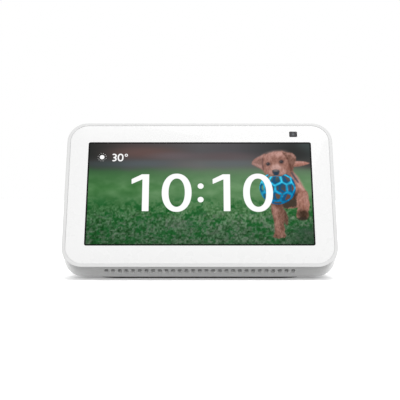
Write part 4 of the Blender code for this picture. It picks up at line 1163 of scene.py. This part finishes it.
def even_ring(points, count):
    """The same outline as evenly spaced points from the middle of its lower side, and their places."""
    following = points[1:] + points[:1]
    pairs = enumerate(zip(points, following))
    start = next(index for index, (here, ahead) in pairs if here.x < 0 <= ahead.x and here.y < 0)
    ahead = following[start]
    share = -points[start].x / (ahead.x - points[start].x)
    middle = points[start].lerp(ahead, share)
    order = points[start + 1:] + points[: start + 1]
    outline = np.array([middle, *order, middle])
    lengths = np.concatenate([[0], np.cumsum(np.linalg.norm(np.diff(outline, axis=0), axis=1))])
    places = np.linspace(0, lengths[-1], count + 1)
    ring = np.stack([np.interp(places, lengths, outline[:, axis]) for axis in range(3)], 1)
    return ring, places - lengths[-1] / 2


COVER_COLUMNS = 200
COVER_ROWS = 40
COVER_END_ROWS = 8
COVER_CORNER_STEPS = 12
FOOT_CORNER = 13 * MM
FOOT_CUT_DEPTH = 12 * MM
PORT_CORNER = 3 * MM
PORT_CUT_DEPTH = 24 * MM


def cover_rings():
    """The cover's rings of points from front to back, and each point's place on the flat cloth."""
    rings, cloth = [], []
    travelled, before = 0, None
    for step in range(COVER_ROWS):
        angle = math.pi / 2 * step / (COVER_ROWS - 1)
        share = min(1.0, math.sin(angle) ** (2 / REAR_TOP_POWER))
        ring, places = even_ring(rear_section(share, COVER_CORNER_STEPS), COVER_COLUMNS)
        if before is not None:
            travelled = travelled + np.linalg.norm(ring - before, axis=1)
        before = ring
        rings.append(ring[:-1])
        cloth.append(np.stack([places, np.broadcast_to(travelled, places.shape)], 1))
    return rings, cloth


def knit_surface():
    """The cover as one surface, with the place on the cloth as its weave."""
    bm = bmesh.new()
    weave = bm.loops.layers.uv.new("weave")
    rings, cloth = cover_rings()
    # The flat end at the back closes in over a few smaller rings.
    end = rings[-1]
    middle = end.mean(0)
    rings += [middle + (end - middle) * (1 - step / COVER_END_ROWS) for step in range(1, COVER_END_ROWS)]
    rows = [[bm.verts.new(point) for point in ring] for ring in rings]
    for number, (one, two) in enumerate(zip(rows, rows[1:])):
        for index in range(COVER_COLUMNS):
            following = (index + 1) % COVER_COLUMNS
            face = bm.faces.new((one[index], one[following], two[following], two[index]))
            corners = ((0, index), (0, index + 1), (1, index + 1), (1, index))
            for loop, (ahead, column) in zip(face.loops, corners):
                if number + 1 < COVER_ROWS:
                    loop[weave].uv = cloth[number + ahead][column]
                else:
                    loop[weave].uv = (loop.vert.co.x, -loop.vert.co.y)
    centre = bm.verts.new(middle)
    last = rows[-1]
    for one, two in zip(last, last[1:] + last[:1]):
        for loop in bm.faces.new((one, two, centre)).loops:
            loop[weave].uv = (loop.vert.co.x, -loop.vert.co.y)
    return mesh_from(bm, "knit_cover", face_matrix)


def opening_cutter(name, width, height, corner, depth, matrix):
    """A solid the shape of an opening with clearance all round."""
    bm = bmesh.new()
    loop = rounded_loop(width + 2 * CLEARANCE, height + 2 * CLEARANCE, corner)
    slab(bm, loop, depth / 2, -depth / 2)
    return place_object(name, mesh_from(bm, name, matrix))


def knit_cover():
    """The knitted cover stretched over the rear body, cut round the foot and the ports."""
    piece = place_object("knit_cover", knit_surface())
    wall = piece.modifiers.new("wall", "SOLIDIFY")
    wall.thickness = FABRIC_THICKNESS
    wall.offset = -1
    foot, bezel = foot_high - foot_low, bezel_high - bezel_low
    foot_place = Matrix.Translation((0, (foot_low.y + foot_high.y) / 2, 0))
    port_place = Matrix.Translation((0, bezel_high.y, (bezel_low.z + bezel_high.z) / 2))
    port_place @= Matrix.Rotation(math.pi / 2, 4, "X")
    cutters = (
        opening_cutter("foot_cut", foot.x, foot.y, FOOT_CORNER + CLEARANCE, FOOT_CUT_DEPTH, foot_place),
        opening_cutter("port_cut", bezel.x, bezel.z, PORT_CORNER, PORT_CUT_DEPTH, port_place),
    )
    for cutter in cutters:
        cut = piece.modifiers.new("cut", "BOOLEAN")
        cut.object = cutter
        cut.solver = "EXACT"
    final = bpy.data.meshes.new_from_object(piece.evaluated_get(bpy.context.evaluated_depsgraph_get()))
    for thing in (piece, *cutters):
        bpy.data.objects.remove(thing)
    cover = new_piece("knit_cover", final, "knit_fabric", angle=50)
    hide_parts("fabric_cover")


SLOT_DEPTH = 6.2 * MM
# A dark sheet behind the sound slots: an acoustic mesh that is also painted shade inside the slots.
SOUND_MESH_WIDTH = 106 * MM
SOUND_MESH_HEIGHT = 5.9 * MM
SOUND_MESH_THICKNESS = 0.3 * MM
SOUND_MESH_CORNER = 1 * MM
SOUND_MESH_Y = -FACE_HEIGHT / 2 + 1.75 * MM


def sound_mesh_and_slot_shade():
    """The dark acoustic mesh behind the row of sound slots, which also serves as painted shade that
    darkens the slots.
    """
    bm = bmesh.new()
    loop = rounded_loop(SOUND_MESH_WIDTH, SOUND_MESH_HEIGHT, SOUND_MESH_CORNER)
    slab(bm, loop, SOUND_MESH_THICKNESS / 2, -SOUND_MESH_THICKNESS / 2)
    place = Matrix.Translation((0, SOUND_MESH_Y, -SLOT_DEPTH)) @ Matrix.Rotation(math.pi / 2, 4, "X")
    new_piece("sound_mesh_and_slot_shade", mesh_from(bm, "sound_mesh_and_slot_shade", face_matrix @ place), "foam")


# ---------------------------------------------------------------- control marks


MARK_RAISED = 0.04 * MM
MARK_SUNK = 0.02 * MM
MARK_WIDTH = 0.38 * MM
MARK_CORNER = MARK_WIDTH * 0.499  # just under half, so that the ends are round without doubled points
MARK_LENGTH = 2.4 * MM
MARK_RADIUS = 1.2 * MM
MARK_STEPS = 40
MARK_BARS = {"volume_up": (0, math.pi / 2), "volume_down": (0,), "mic_camera_off": (math.pi / 4,)}


def bar_shape(bm, turn):
    """A thin round-ended bar through the middle of the cap, turned from the x axis."""
    c, s = math.cos(turn), math.sin(turn)
    loop = rounded_loop(MARK_LENGTH, MARK_WIDTH, MARK_CORNER, steps=6)
    slab(bm, [(x * c - y * s, x * s + y * c) for x, y in loop], MARK_RAISED, -MARK_SUNK)


def ring_shape(bm):
    """A thin ring round the middle of the cap."""
    outer, inner = MARK_RADIUS + MARK_WIDTH / 2, MARK_RADIUS - MARK_WIDTH / 2
    turns = [2 * math.pi * step / MARK_STEPS for step in range(MARK_STEPS)]
    rings = []
    for r, z in ((outer, -MARK_SUNK), (outer, MARK_RAISED), (inner, MARK_RAISED), (inner, -MARK_SUNK)):
        rings.append(add_ring(bm, [(r * math.cos(turn), r * math.sin(turn)) for turn in turns], z))
    for one, two in zip(rings, rings[1:] + rings[:1]):
        bridge(bm, one, two)


def control_marks():
    """A plus, a minus and a crossed circle printed on the three buttons."""
    for body, turns in MARK_BARS.items():
        bm = bmesh.new()
        if body == "mic_camera_off":
            ring_shape(bm)
        for turn in turns:
            bar_shape(bm, turn)
        low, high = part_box(body + "_button")
        place = Matrix.Translation(((low.x + high.x) / 2, BUTTON_TOP, -BUTTON_DEPTH))
        place @= Matrix.Rotation(-math.pi / 2, 4, "X")
        mesh = mesh_from(bm, body + "_mark", face_matrix @ place)
        new_piece(body + "_mark", mesh, "inner_plastic", body)


# ---------------------------------------------------------------- studio


WORLD_LIGHT = 1.0
FLOOR_SIZE = 6
FLOOR_WHITE = (0.9, 0.9, 0.9)
FLOOR_GLOW = 0.2
OVERHEAD_LIGHT = 1.0
OVERHEAD_SOFTNESS = math.radians(30)
OVERHEAD_TILT = (math.radians(8), 0, 0)
LAMP_SIZE = (0.3, 0.3)
LAMP_POWER = 0.3
LAMP_PLACE = Vector((0.08, -0.1, 0.4))
LAMP_AIM = Vector((0, 0, 0.04))
CAMERA_DISTANCE = 0.5885
CAMERA_LENS = 96.9
CAMERA_SHIFT = (0.0005, -0.018)


def surroundings():
    """Even white light from all round."""
    world = bpy.data.worlds.new("studio")
    world.use_nodes = True
    background = world.node_tree.nodes["Background"]
    background.inputs["Color"].default_value = (1, 1, 1, 1)
    background.inputs["Strength"].default_value = WORLD_LIGHT
    bpy.context.scene.world = world


def pale_floor():
    """A wide sheet of white paper with a faint glow of its own, which keeps shadows light."""
    bm = bmesh.new()
    bmesh.ops.create_grid(bm, x_segments=1, y_segments=1, size=FLOOR_SIZE)
    floor = place_object("floor", mesh_from(bm, "floor"))
    paper = Finish("floor_paper", Specular_IOR_Level=0.1, Emission_Color=(1, 1, 1))
    paper.set(paper.shader, "Emission Strength", FLOOR_GLOW)
    paper.tint(paper.speckle(FLOOR_WHITE, 0.01, paper.noise(0.4 * MM, 3.0)))
    paper.roughness(paper.noise(40 * MM), 0.8, 0.9)
    floor.data.materials.append(paper.material)


def lamps():
    """A broad light overhead and one soft box above the front."""
    sky = bpy.data.lights.new("overhead", "SUN")
    sky.energy = OVERHEAD_LIGHT
    sky.angle = OVERHEAD_SOFTNESS
    place_object("overhead", sky).rotation_euler = OVERHEAD_TILT

    lamp = bpy.data.lights.new("soft_box", "AREA")
    lamp.shape = "RECTANGLE"
    lamp.size, lamp.size_y = LAMP_SIZE
    lamp.energy = LAMP_POWER
    soft_box = place_object("soft_box", lamp)
    soft_box.location = LAMP_PLACE
    soft_box.rotation_euler = (LAMP_AIM - LAMP_PLACE).to_track_quat("-Z", "Y").to_euler()


def front_camera():
    """A level camera straight in front of the face."""
    lens = bpy.data.cameras.new("camera")
    lens.lens = CAMERA_LENS
    lens.shift_x, lens.shift_y = CAMERA_SHIFT
    camera = place_object("camera", lens)
    camera.location = (0, face_centre.y - CAMERA_DISTANCE, face_centre.z)
    camera.rotation_euler = (math.pi / 2, 0, 0)
    bpy.context.scene.camera = camera


def studio():
    """The floor, the light and the camera."""
    bpy.context.scene.view_settings.view_transform = "Standard"
    surroundings()
    pale_floor()
    lamps()
    front_camera()


cover_glass()
screen_glass_piece()
knit_cover()
sound_mesh_and_slot_shade()
control_marks()
studio()
